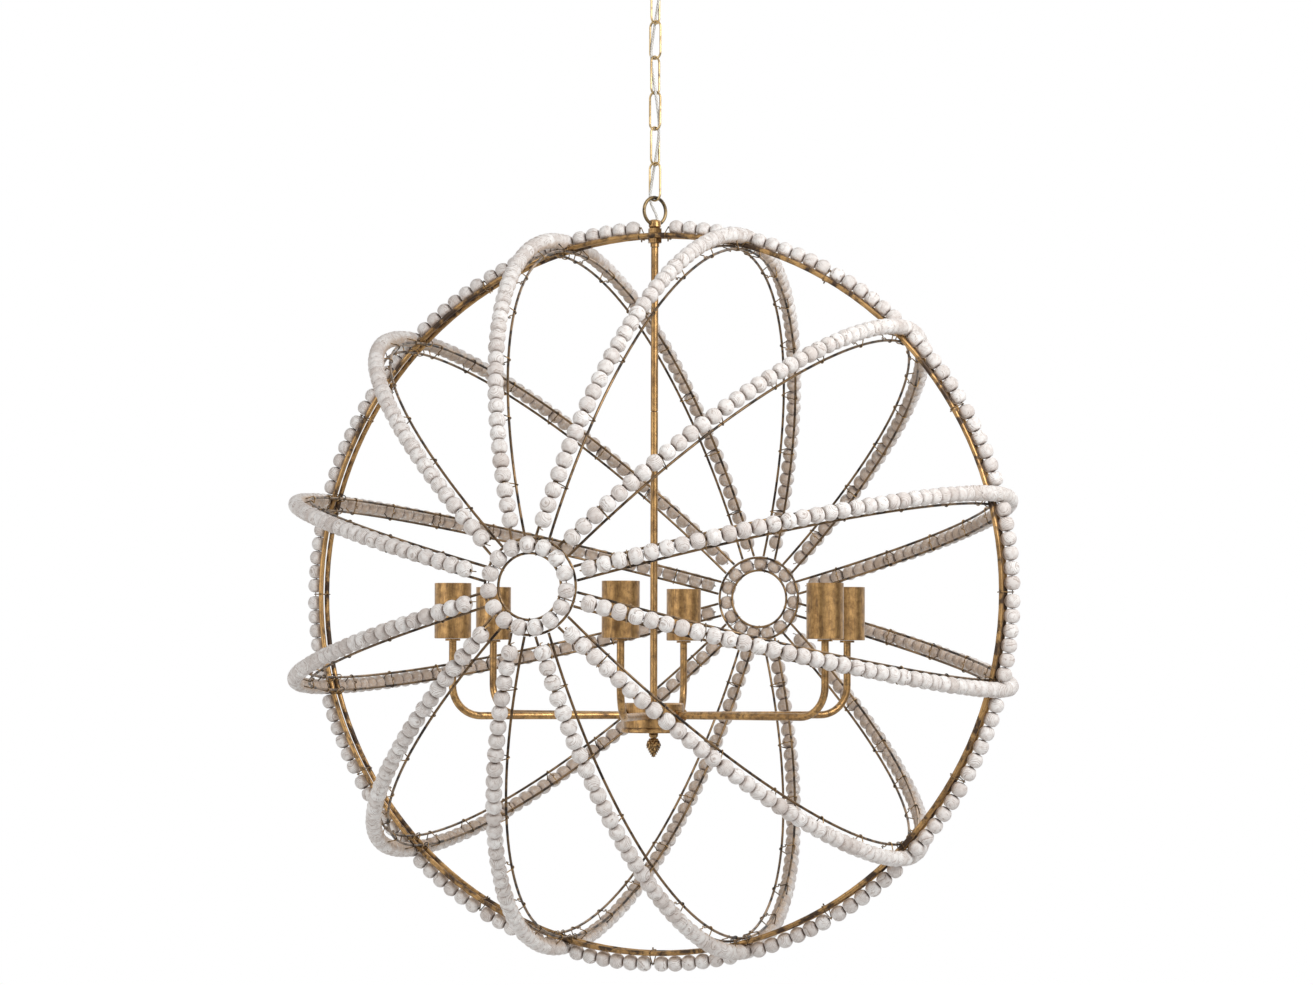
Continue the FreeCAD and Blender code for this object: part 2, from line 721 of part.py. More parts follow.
# rib bead rows: nestled in their two wires, lifted over the ring's wires where they cross it
rib_seat = seat_height(rib_half, size("rib_wire_dia"))
rib_row_radius = rib_radius + rib_seat
crossing_reach = size("bead_dia / 2 + ring_wire_dia / 2 + 2 * seat_gap")
crossing_side = size("bead_length + bead_gap") - ring_half
crossing_radius = size("cage_radius") + math.sqrt(crossing_reach ** 2 - crossing_side ** 2)
crossing_angle = size("bead_length + bead_gap") / crossing_radius
settled_angle = size("lift_reach") / rib_row_radius

# half of the row's path from the ring to the hub: over the ring, down by two equal arcs, then round the globe
spread = 1 - math.cos(settled_angle - crossing_angle)
lift = crossing_radius - rib_row_radius
linear_term = lift * (2 - spread)
constant_term = lift ** 2 + 2 * crossing_radius * rib_row_radius * spread
easing = (math.sqrt(linear_term ** 2 + 2 * spread * constant_term) - linear_term) / (2 * spread)
over_centre = (crossing_radius - easing) * math.cos(crossing_angle), (crossing_radius - easing) * math.sin(crossing_angle)
under_centre = (rib_row_radius + easing) * math.cos(settled_angle), (rib_row_radius + easing) * math.sin(settled_angle)
inflection_angle = math.atan2(under_centre[1] - over_centre[1], under_centre[0] - over_centre[0])
row_arcs = [
    ((0.0, 0.0), crossing_radius, 0.0, crossing_angle),
    (over_centre, easing, crossing_angle, inflection_angle),
    (under_centre, easing, inflection_angle + math.pi, settled_angle + math.pi),
    ((0.0, 0.0), rib_row_radius, settled_angle, math.pi / 2),
]


def row_place(offset):
    """Radius from the globe's axis, distance along Y and outward angle at a distance along the row."""
    left = abs(offset)
    for centre, radius, start, end in row_arcs:
        run = radius * abs(end - start)
        if left <= run or centre is row_arcs[-1][0]:
            break
        left -= run
    way = 1 if end > start else -1
    angle = start + way * left / radius
    out = centre[0] + radius * math.cos(angle)
    along = centre[1] + radius * math.sin(angle)
    outward = angle if way > 0 else angle - math.pi
    side = -1 if offset < 0 else 1
    return out, side * along, side * outward


# room for a string's turn past a row's last bead, as a share of its thickness
STRING_TURN_SHARE = 2.1

hub_mid_radius = (hub_outer + hub_inner) / 2
hub_mid_depth = (math.sqrt(rib_radius ** 2 - hub_outer ** 2) + math.sqrt(rib_radius ** 2 - hub_inner ** 2)) / 2
hub_seat = seat_height(size("hub_wire_spacing / 2"), size("hub_wire_dia"))
row_end_radius = hub_outer + size("hub_wire_dia / 2 + 2 * seat_gap") + STRING_TURN_SHARE * size("string_dia")
settled_run = sum(radius * abs(end - start) for _, radius, start, end in row_arcs[:-1])
rib_row_room = settled_run + rib_row_radius * (math.acos(row_end_radius / rib_row_radius) - settled_angle)
half_row, half_ties, spare = row_offsets(rib_row_room, beads_per_tie, beads_per_tie // 2)
stretch_share = rib_row_room / (rib_row_room - spare)


def both_ways(offsets):
    """Offsets on both sides of a row's middle, which is listed once."""
    return sorted({-offset for offset in offsets} | set(offsets))


def row_frame(degrees, offset):
    """Frame on a rib's bead row at a distance along it."""
    out, along, angle = row_place(offset)
    place = cage_centre + spoke(degrees) * out + Y_AXIS * along
    outward = spoke(degrees) * math.cos(angle) + Y_AXIS * math.sin(angle)
    return frame_at(place, spoke(degrees + 90), outward), outward


rib_beads_at = [offset * stretch_share for offset in both_ways(half_row)]
rib_ties_at = [offset * stretch_share for offset in both_ways(half_ties)]
ribs_per_group = max(1, rib_count // 4)
for group in range(0, rib_count, ribs_per_group):
    places = []
    for index in range(group, min(group + ribs_per_group, rib_count)):
        for offset in rib_beads_at:
            places.append(row_frame(rib_angle(index), offset)[0])
    name = "rib_beads_%d" % (group // ribs_per_group + 1)
    node(copies(name, bead, places), name)

# ring bead rows: one between each two ribs, hanging a little low as strung beads do
ring_seat = seat_height(ring_half, size("ring_wire_dia"))
string_sag = size("string_sag")
ring_row_radius = size("cage_radius + string_sag") + ring_seat
ring_row_centre = cage_centre - level(string_sag)


def ring_row_frame(angle):
    """Frame on the sagging circle, whose own angle is given in radians."""
    outward = spoke(math.degrees(angle))
    return frame_at(ring_row_centre + outward * ring_row_radius, Y_AXIS, outward)


def sagging_angle(degrees):
    """Angle on the sagging circle of the point that lies on a spoke of the globe."""
    angle = math.radians(degrees)
    return angle - math.asin(string_sag * math.sin(angle) / ring_row_radius)


arc_span = 360 / rib_count
end_room = size("bead_dia / 2 + bead_length / 2 + seat_gap")
bead_step = bead_length + bead_gap
top_room = size("top_nut_flats / sqrt(3) + bead_length / 2 + seat_gap")
tie_room = size("bead_length / 2 + bead_gap + tie_dia")
ring_places = []
ring_tie_angles = []
string_arcs = []
for index in range(rib_count):
    first = sagging_angle(rib_angle(index))
    arc_room = (sagging_angle(rib_angle(index + 1)) - first) * ring_row_radius
    row_room = arc_room - 2 * end_room
    row_beads = 1 + int((row_room - (tie_slot - bead_gap)) // bead_step)
    slack = row_room - (row_beads - 1) * bead_step
    offsets = [end_room + number * bead_step for number in range(row_beads)]
    offsets = [offset + (slack if number >= row_beads // 2 else 0) for number, offset in enumerate(offsets)]
    middle = arc_room / 2
    over_top = round(rib_angle(index) + arc_span / 2) % 360 == 0
    if over_top:
        offsets = [offset for offset in offsets if abs(offset - middle) > top_room]
    for offset in offsets:
        ring_places.append(ring_row_frame(first + offset / ring_row_radius))
    left = [offset for offset in offsets if offset < middle]
    right = [offset for offset in offsets if offset > middle]
    runs = [left, right] if over_top else [offsets]
    for run in runs:
        string_arcs.append((first + run[0] / ring_row_radius, first + run[-1] / ring_row_radius))
    ties = [left[-1] + tie_room, right[0] - tie_room] if over_top else [(left[-1] + right[0]) / 2]
    ring_tie_angles += [first + offset / ring_row_radius for offset in ties]
node(copies("ring_beads", bead, ring_places), "ring_beads")

# hub bead rings, seated square on the two wires of each hub ring
hub_row_reach = math.hypot(hub_mid_radius, hub_mid_depth)
hub_row_radius = hub_mid_radius * (1 + hub_seat / hub_row_reach)
hub_row_depth = hub_mid_depth * (1 + hub_seat / hub_row_reach)
flat_radius = size("sqrt(bead_dia ^ 2 - bead_length ^ 2) / 2")
hub_bead_half_angle = math.atan2(bead_length + bead_gap, 2 * (hub_row_radius - flat_radius))
hub_bead_count = int(math.pi / hub_bead_half_angle)
hub_group = int(size("hub_beads_per_tie"))
hub_places = []
hub_tie_frames = []


def hub_frame(degrees, side):
    outward = (spoke(degrees) * hub_mid_radius + Y_AXIS * (side * hub_mid_depth)).normalize()
    place = cage_centre + spoke(degrees) * hub_row_radius + Y_AXIS * (side * hub_row_depth)
    across = outward.cross(spoke(degrees + 90))
    return frame_at(place, across, outward)


def tie_angle(index):
    """Middle of the gap after a hub bead, or of the next gap where a rib's wire ends at the first."""
    angle = (index + 1 / 2) * 360 / hub_bead_count
    wire_angle = math.degrees(math.asin(rib_half / hub_outer))
    beside = abs((angle - rib_angle(0) + arc_span / 2) % arc_span - arc_span / 2)
    blocked = abs(beside - wire_angle) < math.degrees(size("rib_wire_dia / 2 + hub_tie_dia / 2 + seat_gap") / hub_outer)
    return angle + 360 / hub_bead_count if blocked else angle


for side in (-1, 1):
    for index in range(hub_bead_count):
        hub_places.append(hub_frame(index * 360 / hub_bead_count, side))
        if index % hub_group == 0:
            hub_tie_frames.append(hub_frame(tie_angle(index), side))
node(copies("hub_beads", bead, hub_places), "hub_beads")


# bead strings: a thin wire through each row
def string_along(edges, start, tangent):
    return round_bar(Part.Wire(edges), start, tangent, size("string_dia"))


def rib_string(degrees):
    """Runs through a rib's beads and turns down beside the hub's outer wire at both ends."""
    last = rib_beads_at[-1] + size("bead_length / 2 + string_dia / 2 + seat_gap")
    bounds = [0.0]
    for _, radius, start, end in row_arcs[:-1]:
        bounds.append(bounds[-1] + radius * abs(end - start))
    bounds[0] = -bounds[1]
    bounds.append(last)
    spans = list(zip(bounds, bounds[1:]))
    spans = [(-end, -start) for start, end in reversed(spans[1:])] + spans
    edges = []
    bend = size("string_dia")
    diagonal = bend * math.sqrt(2) / 2
    for way in (-1, 1):
        frame, outward = row_frame(degrees, way * last)
        end = frame.Base
        onward = outward.cross(spoke(degrees + 90)) * way
        knee = end + onward * bend - outward * bend
        middle = end + onward * diagonal - outward * (bend - diagonal)
        foot = knee - outward * (rib_seat - bend)
        if way < 0:
            head = foot
            head_way = outward
            edges.append(line_edge(foot, knee))
            edges.append(arc_edge(knee, middle, end))
            for start, finish in spans:
                points = [row_frame(degrees, offset)[0].Base for offset in (start, (start + finish) / 2, finish)]
                edges.append(arc_edge(*points))
        else:
            edges.append(arc_edge(end, middle, knee))
            edges.append(line_edge(knee, foot))
    return string_along(edges, head, head_way)


strings = [rib_string(rib_angle(index)) for index in range(rib_count)]
flush = bead_length / 2 - bead_gap
for first, last in string_arcs:
    begin = first - flush / ring_row_radius
    finish = last + flush / ring_row_radius
    ends = [ring_row_frame(angle).Base for angle in (begin, (begin + finish) / 2, finish)]
    strings.append(string_along([arc_edge(*ends)], ends[0], spoke(math.degrees(begin) + 90)))
for side in (-1, 1):
    centre = cage_centre + Y_AXIS * (side * hub_row_depth)
    strings.append(Part.makeTorus(hub_row_radius, size("string_dia / 2"), centre, Y_AXIS))
node(coded("bead_strings", Part.makeCompound(strings)), "bead_strings")


# tie wires: one wire round both frame wires and the string, its two ends side by side as a tail inside
def mirrored(spot):
    return Vec(-spot.x, spot.y, 0)


def tie_shape(half_spacing, wire_dia, height, tie_dia):
    """Tie in the local XY plane; the string is at the origin and the frame wires below it."""
    tie = tie_dia / 2
    play = size("seat_gap / 2")
    bend = tie_dia
    wire_ring = wire_dia / 2 + tie + play
    string_ring = size("string_dia / 2") + tie + play
    wire = Vec(half_spacing, -height, 0)
    slant = Vec(-half_spacing, height, 0).normalize()
    lean = (wire_ring - string_ring) / wire.Length
    normal = slant * lean + Vec(slant.y, -slant.x, 0) * math.sqrt(1 - lean ** 2)
    under = Vec(half_spacing, -height - wire_ring, 0)
    around = wire + (normal - Y_AXIS).normalize() * wire_ring
    beside = wire + normal * wire_ring
    over = normal * string_ring
    tip = Vec(tie + play, under.y - size("tie_tail"), 0)
    knee = Vec(tip.x, under.y - bend, 0)
    turned_out = Vec(tip.x + bend, under.y, 0)
    elbow = Vec(turned_out.x, knee.y, 0) + Vec(-1, 1, 0).normalize() * bend
    runs = [(tip, knee), (knee, elbow, turned_out), (turned_out, under), (under, around, beside), (beside, over)]
    other_side = [tuple(mirrored(spot) for spot in reversed(run)) for run in reversed(runs)]
    runs += [(over, Y_AXIS * string_ring, mirrored(over))] + other_side
    edges = [arc_edge(*run) if len(run) == 3 else line_edge(*run) for run in runs]
    return round_bar(Part.Wire(edges), tip, Y_AXIS, tie_dia)


tie_dia = size("tie_dia")
rib_tie_solids = []
tie_patterns = {}
for index in range(rib_count):
    for offset in rib_ties_at:
        frame, outward = row_frame(rib_angle(index), offset)
        height = (frame.Base - cage_centre).Length - rib_radius
        if offset not in tie_patterns:
            tie_patterns[offset] = tie_shape(rib_half, size("rib_wire_dia"), height, tie_dia)
        rib_tie_solids += placed(tie_patterns[offset], [frame])
node(coded("rib_ties", Part.makeCompound(rib_tie_solids)), "rib_ties")

ring_tie_solids = []
for angle in ring_tie_angles:
    frame = ring_row_frame(angle)
    height = (frame.Base - cage_centre).Length - size("cage_radius")
    pattern = tie_shape(ring_half, size("ring_wire_dia"), height, tie_dia)
    ring_tie_solids += placed(pattern, [frame])
hub_tie = tie_shape(size("hub_wire_spacing / 2"), size("hub_wire_dia"), hub_seat, size("hub_tie_dia"))
ring_tie_solids += placed(hub_tie, hub_tie_frames)
node(coded("ring_ties", Part.makeCompound(ring_tie_solids)), "ring_ties")

# crossing bindings: small closed loops that hold each rib wire to each ring wire
binding_centre = (size("cage_radius + ring_wire_dia / 2") + rib_radius - size("rib_wire_dia / 2")) / 2
binding_outer = size("cage_radius + ring_wire_dia / 2") - binding_centre
binding_radius = binding_outer + size("tie_dia / 2 + 2 * seat_gap")
binding_places = []
for index in range(rib_count):
    outward = spoke(rib_angle(index))
    across = spoke(rib_angle(index) + 90)
    for rib_side in (-1, 1):
        for ring_side in (-1, 1):
            place = cage_centre + outward * binding_centre + across * (rib_side * rib_half)
            place = place + Y_AXIS * (ring_side * ring_half)
            slant = (across + Y_AXIS).normalize()
            binding_places.append(frame_at(place, slant, outward))
binding = Part.makeTorus(binding_radius, size("tie_dia / 2"))
node(coded("crossing_bindings", Part.makeCompound(placed(binding, binding_places))), "crossing_bindings")

# body in the middle, closed below by a plate that the finial's stud holds
body_shell = revolved("body_shell", [
    ("stem_nipple_dia / 2 + seat_gap", "body_height - body_wall"),
    ("stem_nipple_dia / 2 + seat_gap", "body_height"),
    ("body_dia / 2 - body_wall", "body_height"),
    ("body_dia / 2", "body_height - body_wall"),
    ("body_dia / 2", "0"),
    ("body_dia / 2 - body_wall", "0"),
    ("body_dia / 2 - body_wall", "body_height - body_wall"),
], at(level(body_bottom)))


arm_total = int(size("arm_count"))


def arm_angle(index):
    return size("arm_first_angle") + index * 360 / arm_total


def radial(degrees, radius, height):
    """Placement whose local Z points outwards from the stem at a level."""
    way = direction(degrees)
    return at(way * radius + level(height), FreeCAD.Rotation(Z_AXIS, way))


arm_holes = []
for index in range(arm_total):
    start = size("body_dia / 2 - body_wall - cut_overrun")
    arm_holes.append(cylinder("arm_hole_%d" % (index + 1), "arm_dia + 2 * seat_gap", "body_wall + 2 * cut_overrun",
                              radial(arm_angle(index), start, arm_level)))
node(cut("body_cut", body_shell, fuse("body_arm_holes", arm_holes)), "centre_body")

plate = revolved("bottom_plate", [
    ("finial_stud_dia / 2 + seat_gap", "0"),
    ("plate_dia / 2 - plate_round", "0"),
    ("plate_dia / 2", "plate_round"),
    ("plate_dia / 2", "plate_thick - plate_round"),
    ("plate_dia / 2 - plate_round", "plate_thick"),
    ("finial_stud_dia / 2 + seat_gap", "plate_thick"),
], at(level(plate_bottom)))
node(plate, "bottom_plate")

# finial: a cone of stepped tiers on a neck, with a stud up through the plate
TIER_WIDTH_SHARES = (0.42, 0.72, 0.92, 1.0, 0.93, 0.74)
TIER_FOOT_SHARE = 0.12
TIER_HEAD_SHARE = 0.86
TIER_WAIST_SHARE = 0.86
finial_outline = [
    ("0", "0"),
    ("finial_cone_dia / 2 * 0.22", "0"),
]
tiers = int(size("finial_tiers"))
for index in range(tiers):
    share = TIER_WIDTH_SHARES[index * len(TIER_WIDTH_SHARES) // tiers]
    low = "finial_cone_height * %.4f" % ((index + TIER_FOOT_SHARE) / tiers)
    high = "finial_cone_height * %.4f" % ((index + TIER_HEAD_SHARE) / tiers)
    finial_outline.append(("finial_cone_dia / 2 * %.4f" % (share * TIER_WAIST_SHARE), low))
    finial_outline.append(("finial_cone_dia / 2 * %.4f" % share, high))
finial_outline += [
    ("finial_neck_dia / 2 * 0.62", "finial_cone_height"),
    ("finial_neck_dia / 2", "finial_cone_height + finial_neck_height * 0.55"),
    ("finial_neck_dia / 2", "finial_cone_height + finial_neck_height"),
    ("finial_stud_dia / 2", "finial_cone_height + finial_neck_height"),
    ("finial_stud_dia / 2", "finial_cone_height + finial_neck_height + finial_stud_length"),
    ("0", "finial_cone_height + finial_neck_height + finial_stud_length"),
]
finial_bottom = plate_bottom - gap - size("finial_neck_height + finial_cone_height")
node(revolved("finial", finial_outline, at(level(finial_bottom))), "finial")

# arms: a tube out of the body, bent up to the cup, with a boss outside and a seat on top
arm_start = size("body_dia / 2 - body_wall - arm_inset")
arm_points = [
    Vec(arm_start, 0, 0),
    Vec(size("arm_reach"), 0, 0),
    Vec(size("arm_reach"), 0, size("arm_rise")),
]
arm_path = rounded_path(arm_points, [size("arm_bend")])
arm_outer = round_bar(arm_path, arm_points[0], X_AXIS, size("arm_dia"))
arm_inner = round_bar(arm_path, arm_points[0], X_AXIS, size("arm_bore"))
arm_boss = Part.makeCylinder(size("arm_boss_dia / 2"), size("arm_boss_thick"),
                             Vec(size("body_dia / 2 + seat_gap"), 0, 0), X_AXIS)
arm_seat = Part.makeCylinder(size("cup_seat_dia / 2"), size("cup_seat_thick"),
                             Vec(size("arm_reach"), 0, size("arm_rise - cup_seat_thick")))
arm_solid = arm_outer.fuse([arm_boss, arm_seat]).removeSplitter().cut(arm_inner)
arm_pattern = coded("arm_pattern", arm_solid)
arm_places = [at(level(arm_level), turned(arm_angle(index))) for index in range(arm_total)]
node(copies("arm_group", arm_pattern, arm_places), "arms")

nut_blank = hexagon("arm_nut_blank", "arm_nut_flats", "arm_nut_thick", at(Vec(0, 0, 0)))
nut_hole = cylinder("arm_nut_hole", "arm_dia + 2 * seat_gap", "arm_nut_thick", at(Vec(0, 0, 0)))
arm_nut = cut("arm_nut_pattern", nut_blank, nut_hole)
foot_blank = hexagon("foot_nut_blank", "arm_nut_flats", "arm_nut_thick",
                     at(level(body_top - size("body_wall + seat_gap + arm_nut_thick"))))
foot_hole = cylinder("foot_nut_hole", nipple_room, "arm_nut_thick", foot_blank.Placement)
foot_nut = cut("foot_nut", foot_blank, foot_hole)
inner_wall = size("body_dia / 2 - body_wall") * math.cos(math.asin(size("arm_nut_flats / body_dia")))
nut_places = [radial(arm_angle(index), inner_wall - size("arm_nut_thick + 2 * seat_gap"), arm_level)
              for index in range(arm_total)]
doc.recompute()
body_nuts = placed(arm_nut.Shape, nut_places) + [foot_nut.Shape.copy()]
node(coded("body_nut_group", Part.makeCompound(body_nuts)), "body_nuts")

# candle cups, open at the top, and the lamp holders that stand in them
cup_pattern = revolved("candle_cup", [
    ("arm_bore / 2", "0"),
    ("cup_dia / 2 - cup_wall / 2", "0"),
    ("cup_dia / 2", "cup_wall / 2"),
    ("cup_dia / 2", "cup_height"),
    ("cup_dia / 2 - cup_wall", "cup_height"),
    ("cup_dia / 2 - cup_wall", "cup_wall"),
    ("arm_bore / 2", "cup_wall"),
], at(Vec(0, 0, 0)))
cup_places = []
holder_places = []
for index in range(arm_total):
    spot = direction(arm_angle(index)) * size("arm_reach")
    cup_places.append(at(spot + level(cup_floor + gap)))
    holder_places.append(at(spot + level(cup_floor + size("2 * seat_gap + cup_wall"))))
node(copies("cup_group", cup_pattern, cup_places), "candle_cups")

holder_pattern = revolved("lamp_holder", [
    ("0", "0"),
    ("holder_foot_dia / 2", "0"),
    ("holder_foot_dia / 2", "holder_foot_height"),
    ("holder_dia / 2 * 0.9", "holder_foot_height + holder_dia * 0.06"),
    ("holder_dia / 2", "holder_foot_height + holder_dia * 0.16"),
    ("holder_dia / 2", "holder_height"),
    ("holder_bore / 2", "holder_height"),
    ("holder_bore / 2", "holder_floor"),
    ("0", "holder_floor"),
], at(Vec(0, 0, 0)))
node(copies("holder_group", holder_pattern, holder_places), "lamp_holders")

doc.recompute()

# every object is checked, then each sub-part is written to its own file
for item in doc.Objects:
    bad = [state for state in item.State if state in ("Invalid", "Error")]
    if bad:
        raise RuntimeError("%s is %s" % (item.Name, bad))
os.makedirs("parts", exist_ok=True)
for name, item in NODES:
    shape = item.Shape
    if shape.isNull() or not shape.isValid() or not shape.Solids:
        raise RuntimeError(name + " has no valid solid")
for name, item in NODES:
    item.Shape.exportStep("parts/" + name + ".step")
print(len(NODES), "nodes")
print("hinges", [round(value, 3) for value in hinge_levels])
print("ring level %.3f, cage level %.3f, arm level %.3f, cup floor %.3f" % (ring_level, cage_level, arm_level, cup_floor))
print("beads", len(rib_beads_at), row_beads, hub_bead_count, "stretch", round(stretch_share, 5))
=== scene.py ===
"""Looks of a beaded globe chandelier: whitewashed wooden beads and antique gold metal, in a white room.

Sizes are in metres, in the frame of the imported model.
"""

import json
import math
import random

import bmesh
import bpy
import numpy as np
from mathutils import Matrix, Vector


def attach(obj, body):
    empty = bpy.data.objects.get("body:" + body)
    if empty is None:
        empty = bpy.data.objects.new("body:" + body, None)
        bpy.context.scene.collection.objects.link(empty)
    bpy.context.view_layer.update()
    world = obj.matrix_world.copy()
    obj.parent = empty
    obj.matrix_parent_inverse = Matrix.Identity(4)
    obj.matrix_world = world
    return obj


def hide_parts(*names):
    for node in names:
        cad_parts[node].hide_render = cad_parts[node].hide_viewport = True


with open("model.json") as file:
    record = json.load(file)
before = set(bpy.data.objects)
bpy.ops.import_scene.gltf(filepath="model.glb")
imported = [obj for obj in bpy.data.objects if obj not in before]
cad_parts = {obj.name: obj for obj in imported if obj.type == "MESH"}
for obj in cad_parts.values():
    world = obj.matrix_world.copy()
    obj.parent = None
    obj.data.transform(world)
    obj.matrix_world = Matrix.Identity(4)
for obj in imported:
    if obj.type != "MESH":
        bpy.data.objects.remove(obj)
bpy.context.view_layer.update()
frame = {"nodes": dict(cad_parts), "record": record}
cad_nodes = frame["nodes"]
scene = bpy.context.scene
scene.view_settings.view_transform = "Standard"

# Camera, fitted to the photograph about the middle of the globe

GLOBE_CENTRE = Vector((0, 0, -0.8168))
LENS_MM = 110.3
SENSOR_MM = 36.0
CAMERA_PLACE = (0.00318, -4.903, 0.1225)
FARTHEST_SEEN = 60
PHOTO_ROLL = math.radians(0.15)
PHOTO_TILT = math.radians(-2.42)
PHOTO_HEADING = math.radians(-18.80)
PHOTO_TURN = (
    Matrix.Rotation(PHOTO_ROLL, 3, "Y")
    @ Matrix.Rotation(PHOTO_TILT, 3, "X")
    @ Matrix.Rotation(PHOTO_HEADING, 3, "Z")
)


def from_photo(place):
    """A point given as right, away and up in the photograph, from the middle of the globe."""
    return GLOBE_CENTRE + PHOTO_TURN.transposed() @ Vector(place)


def place_camera():
    right, away, up = (Vector(row) for row in PHOTO_TURN)
    camera = bpy.data.objects.new("camera", bpy.data.cameras.new("camera"))
    camera.data.lens = LENS_MM
    camera.data.sensor_width = SENSOR_MM
    camera.data.clip_end = FARTHEST_SEEN
    facing = Matrix((right, up, -away)).transposed().to_4x4()
    camera.matrix_world = Matrix.Translation(from_photo(CAMERA_PLACE)) @ facing
    scene.collection.objects.link(camera)
    scene.camera = camera


place_camera()

# Node helpers. The first four values are the sockets of a Mix node that mixes colours

MIX_AMOUNT = 0
MIX_UNDER = 6
MIX_OVER = 7
MIX_RESULT = 2


def rgb(red, green, blue):
    return (red, green, blue, 1.0)


WHITE = rgb(1.0, 1.0, 1.0)


def feed(tree, socket, value):
    """Links a node socket to another, or sets its own value."""
    if isinstance(value, bpy.types.NodeSocket):
        tree.links.new(value, socket)
    else:
        socket.default_value = value


def put(tree, kind, settings=None, **values):
    """One shader node with its settings, its sockets fed by their names."""
    made = tree.nodes.new(kind)
    for name, value in (settings or {}).items():
        setattr(made, name, value)
    for name, value in values.items():
        feed(tree, made.inputs[name.replace("_", " ")], value)
    return made


def maths(tree, operation, first, second):
    made = put(tree, "ShaderNodeMath", {"operation": operation})
    feed(tree, made.inputs[0], first)
    feed(tree, made.inputs[1], second)
    return made.outputs[0]


def vector_maths(tree, operation, first, second):
    """A vector operation on two places. Returns its outputs, a vector and a value."""
    made = put(tree, "ShaderNodeVectorMath", {"operation": operation})
    feed(tree, made.inputs[0], first)
    feed(tree, made.inputs[1], second)
    return made.outputs


def layer(tree, under, over, mask, most=1.0):
    """A colour laid over another where the mask says, and nowhere by more than most."""
    made = put(tree, "ShaderNodeMix", {"data_type": "RGBA"})
    feed(tree, made.inputs[MIX_AMOUNT], mask if most == 1.0 else maths(tree, "MULTIPLY", mask, most))
    feed(tree, made.inputs[MIX_UNDER], under)
    feed(tree, made.inputs[MIX_OVER], over)
    return made.outputs[MIX_RESULT]


def ramp(tree, value, low, high, least=0.0, most=1.0):
    """Value, from low to high, as least to most, eased and held within them."""
    made = put(
        tree,
        "ShaderNodeMapRange",
        {"interpolation_type": "SMOOTHSTEP"},
        Value=value,
        From_Min=low,
        From_Max=high,
        To_Min=least,
        To_Max=most,
    )
    return made.outputs["Result"]


def across(tree, mask, least, most):
    """A value that goes from least to most as the mask goes from 0 to 1."""
    return ramp(tree, mask, low=0.0, high=1.0, least=least, most=most)


def new_group(name, inputs, outputs):
    """An empty node group with its sockets, and its inner input and output nodes."""
    group = bpy.data.node_groups.new(name, "ShaderNodeTree")
    for label, kind, value in inputs:
        socket = group.interface.new_socket(label, in_out="INPUT", socket_type=kind)
        if value is not None:
            socket.default_value = value
    for label, kind in outputs:
        group.interface.new_socket(label, in_out="OUTPUT", socket_type=kind)
    return group, group.nodes.new("NodeGroupInput").outputs, group.nodes.new("NodeGroupOutput").inputs


def use(tree, group, **values):
    """A group placed in a material, with its own values. Returns its outputs."""
    made = tree.nodes.new("ShaderNodeGroup")
    made.node_tree = group
    for name, value in values.items():
        feed(tree, made.inputs[name.replace("_", " ")], value)
    return made.outputs


def new_material(name):
    material = bpy.data.materials.new(name)
    material.use_nodes = True
    tree = material.node_tree
    return material, tree, tree.nodes["Principled BSDF"]


def object_place(tree):
    return put(tree, "ShaderNodeTexCoord").outputs["Object"]


def attribute(tree, name, output="Fac"):
    return put(tree, "ShaderNodeAttribute", {"attribute_name": name}).outputs[output]


def raise_skin(tree, surface, height, strength, distance):
    """Bumps a surface by a height."""
    skin = put(tree, "ShaderNodeBump", Strength=strength, Distance=distance, Height=height)
    feed(tree, surface.inputs["Normal"], skin.outputs["Normal"])


def set_values(surface, values):
    """Values of a shader that are the same all over a surface."""
    for name, value in values.items():
        surface.inputs[name].default_value = value


# Shared effects

EVEN = (1.0, 1.0, 1.0)
BRUSHED = (1.0, 1.0, 0.14)


def make_patches():
    """Soft patches, or streaks where the stretch draws the place out along one way."""
    group, given, out = new_group(
        "patches",
        [
            ("Place", "NodeSocketVector", None),
            ("Stretch", "NodeSocketVector", EVEN),
            ("Scale", "NodeSocketFloat", 100.0),
            ("Low", "NodeSocketFloat", 0.4),
            ("High", "NodeSocketFloat", 0.6),
        ],
        [("Mask", "NodeSocketFloat")],
    )
    noise = put(
        group,
        "ShaderNodeTexNoise",
        Vector=vector_maths(group, "MULTIPLY", given["Place"], given["Stretch"])["Vector"],
        Scale=given["Scale"],
        Detail=4.0,
        Roughness=0.62,
        Distortion=0.3,
    )
    feed(group, out["Mask"], ramp(group, noise.outputs["Fac"], low=given["Low"], high=given["High"]))
    return group


def make_edge_rub():
    """Where an edge has been rubbed bright, broken up by a fine grain."""
    group, given, out = new_group(
        "edge_rub",
        [("Place", "NodeSocketVector", None), ("Width", "NodeSocketFloat", 0.0008)],
        [("Mask", "NodeSocketFloat")],
    )
    rounded = put(group, "ShaderNodeBevel", {"samples": 4}, Radius=given["Width"]).outputs["Normal"]
    facing = put(group, "ShaderNodeNewGeometry").outputs["Normal"]
    agreement = vector_maths(group, "DOT_PRODUCT", rounded, facing)["Value"]
    edge = ramp(group, maths(group, "SUBTRACT", 1.0, agreement), low=0.01, high=0.16)
    grain = put(group, "ShaderNodeTexNoise", Vector=given["Place"], Scale=420.0, Detail=3.0)
    broken = ramp(group, grain.outputs["Fac"], low=0.35, high=0.6, least=0.25)
    feed(group, out["Mask"], maths(group, "MULTIPLY", edge, broken))
    return group


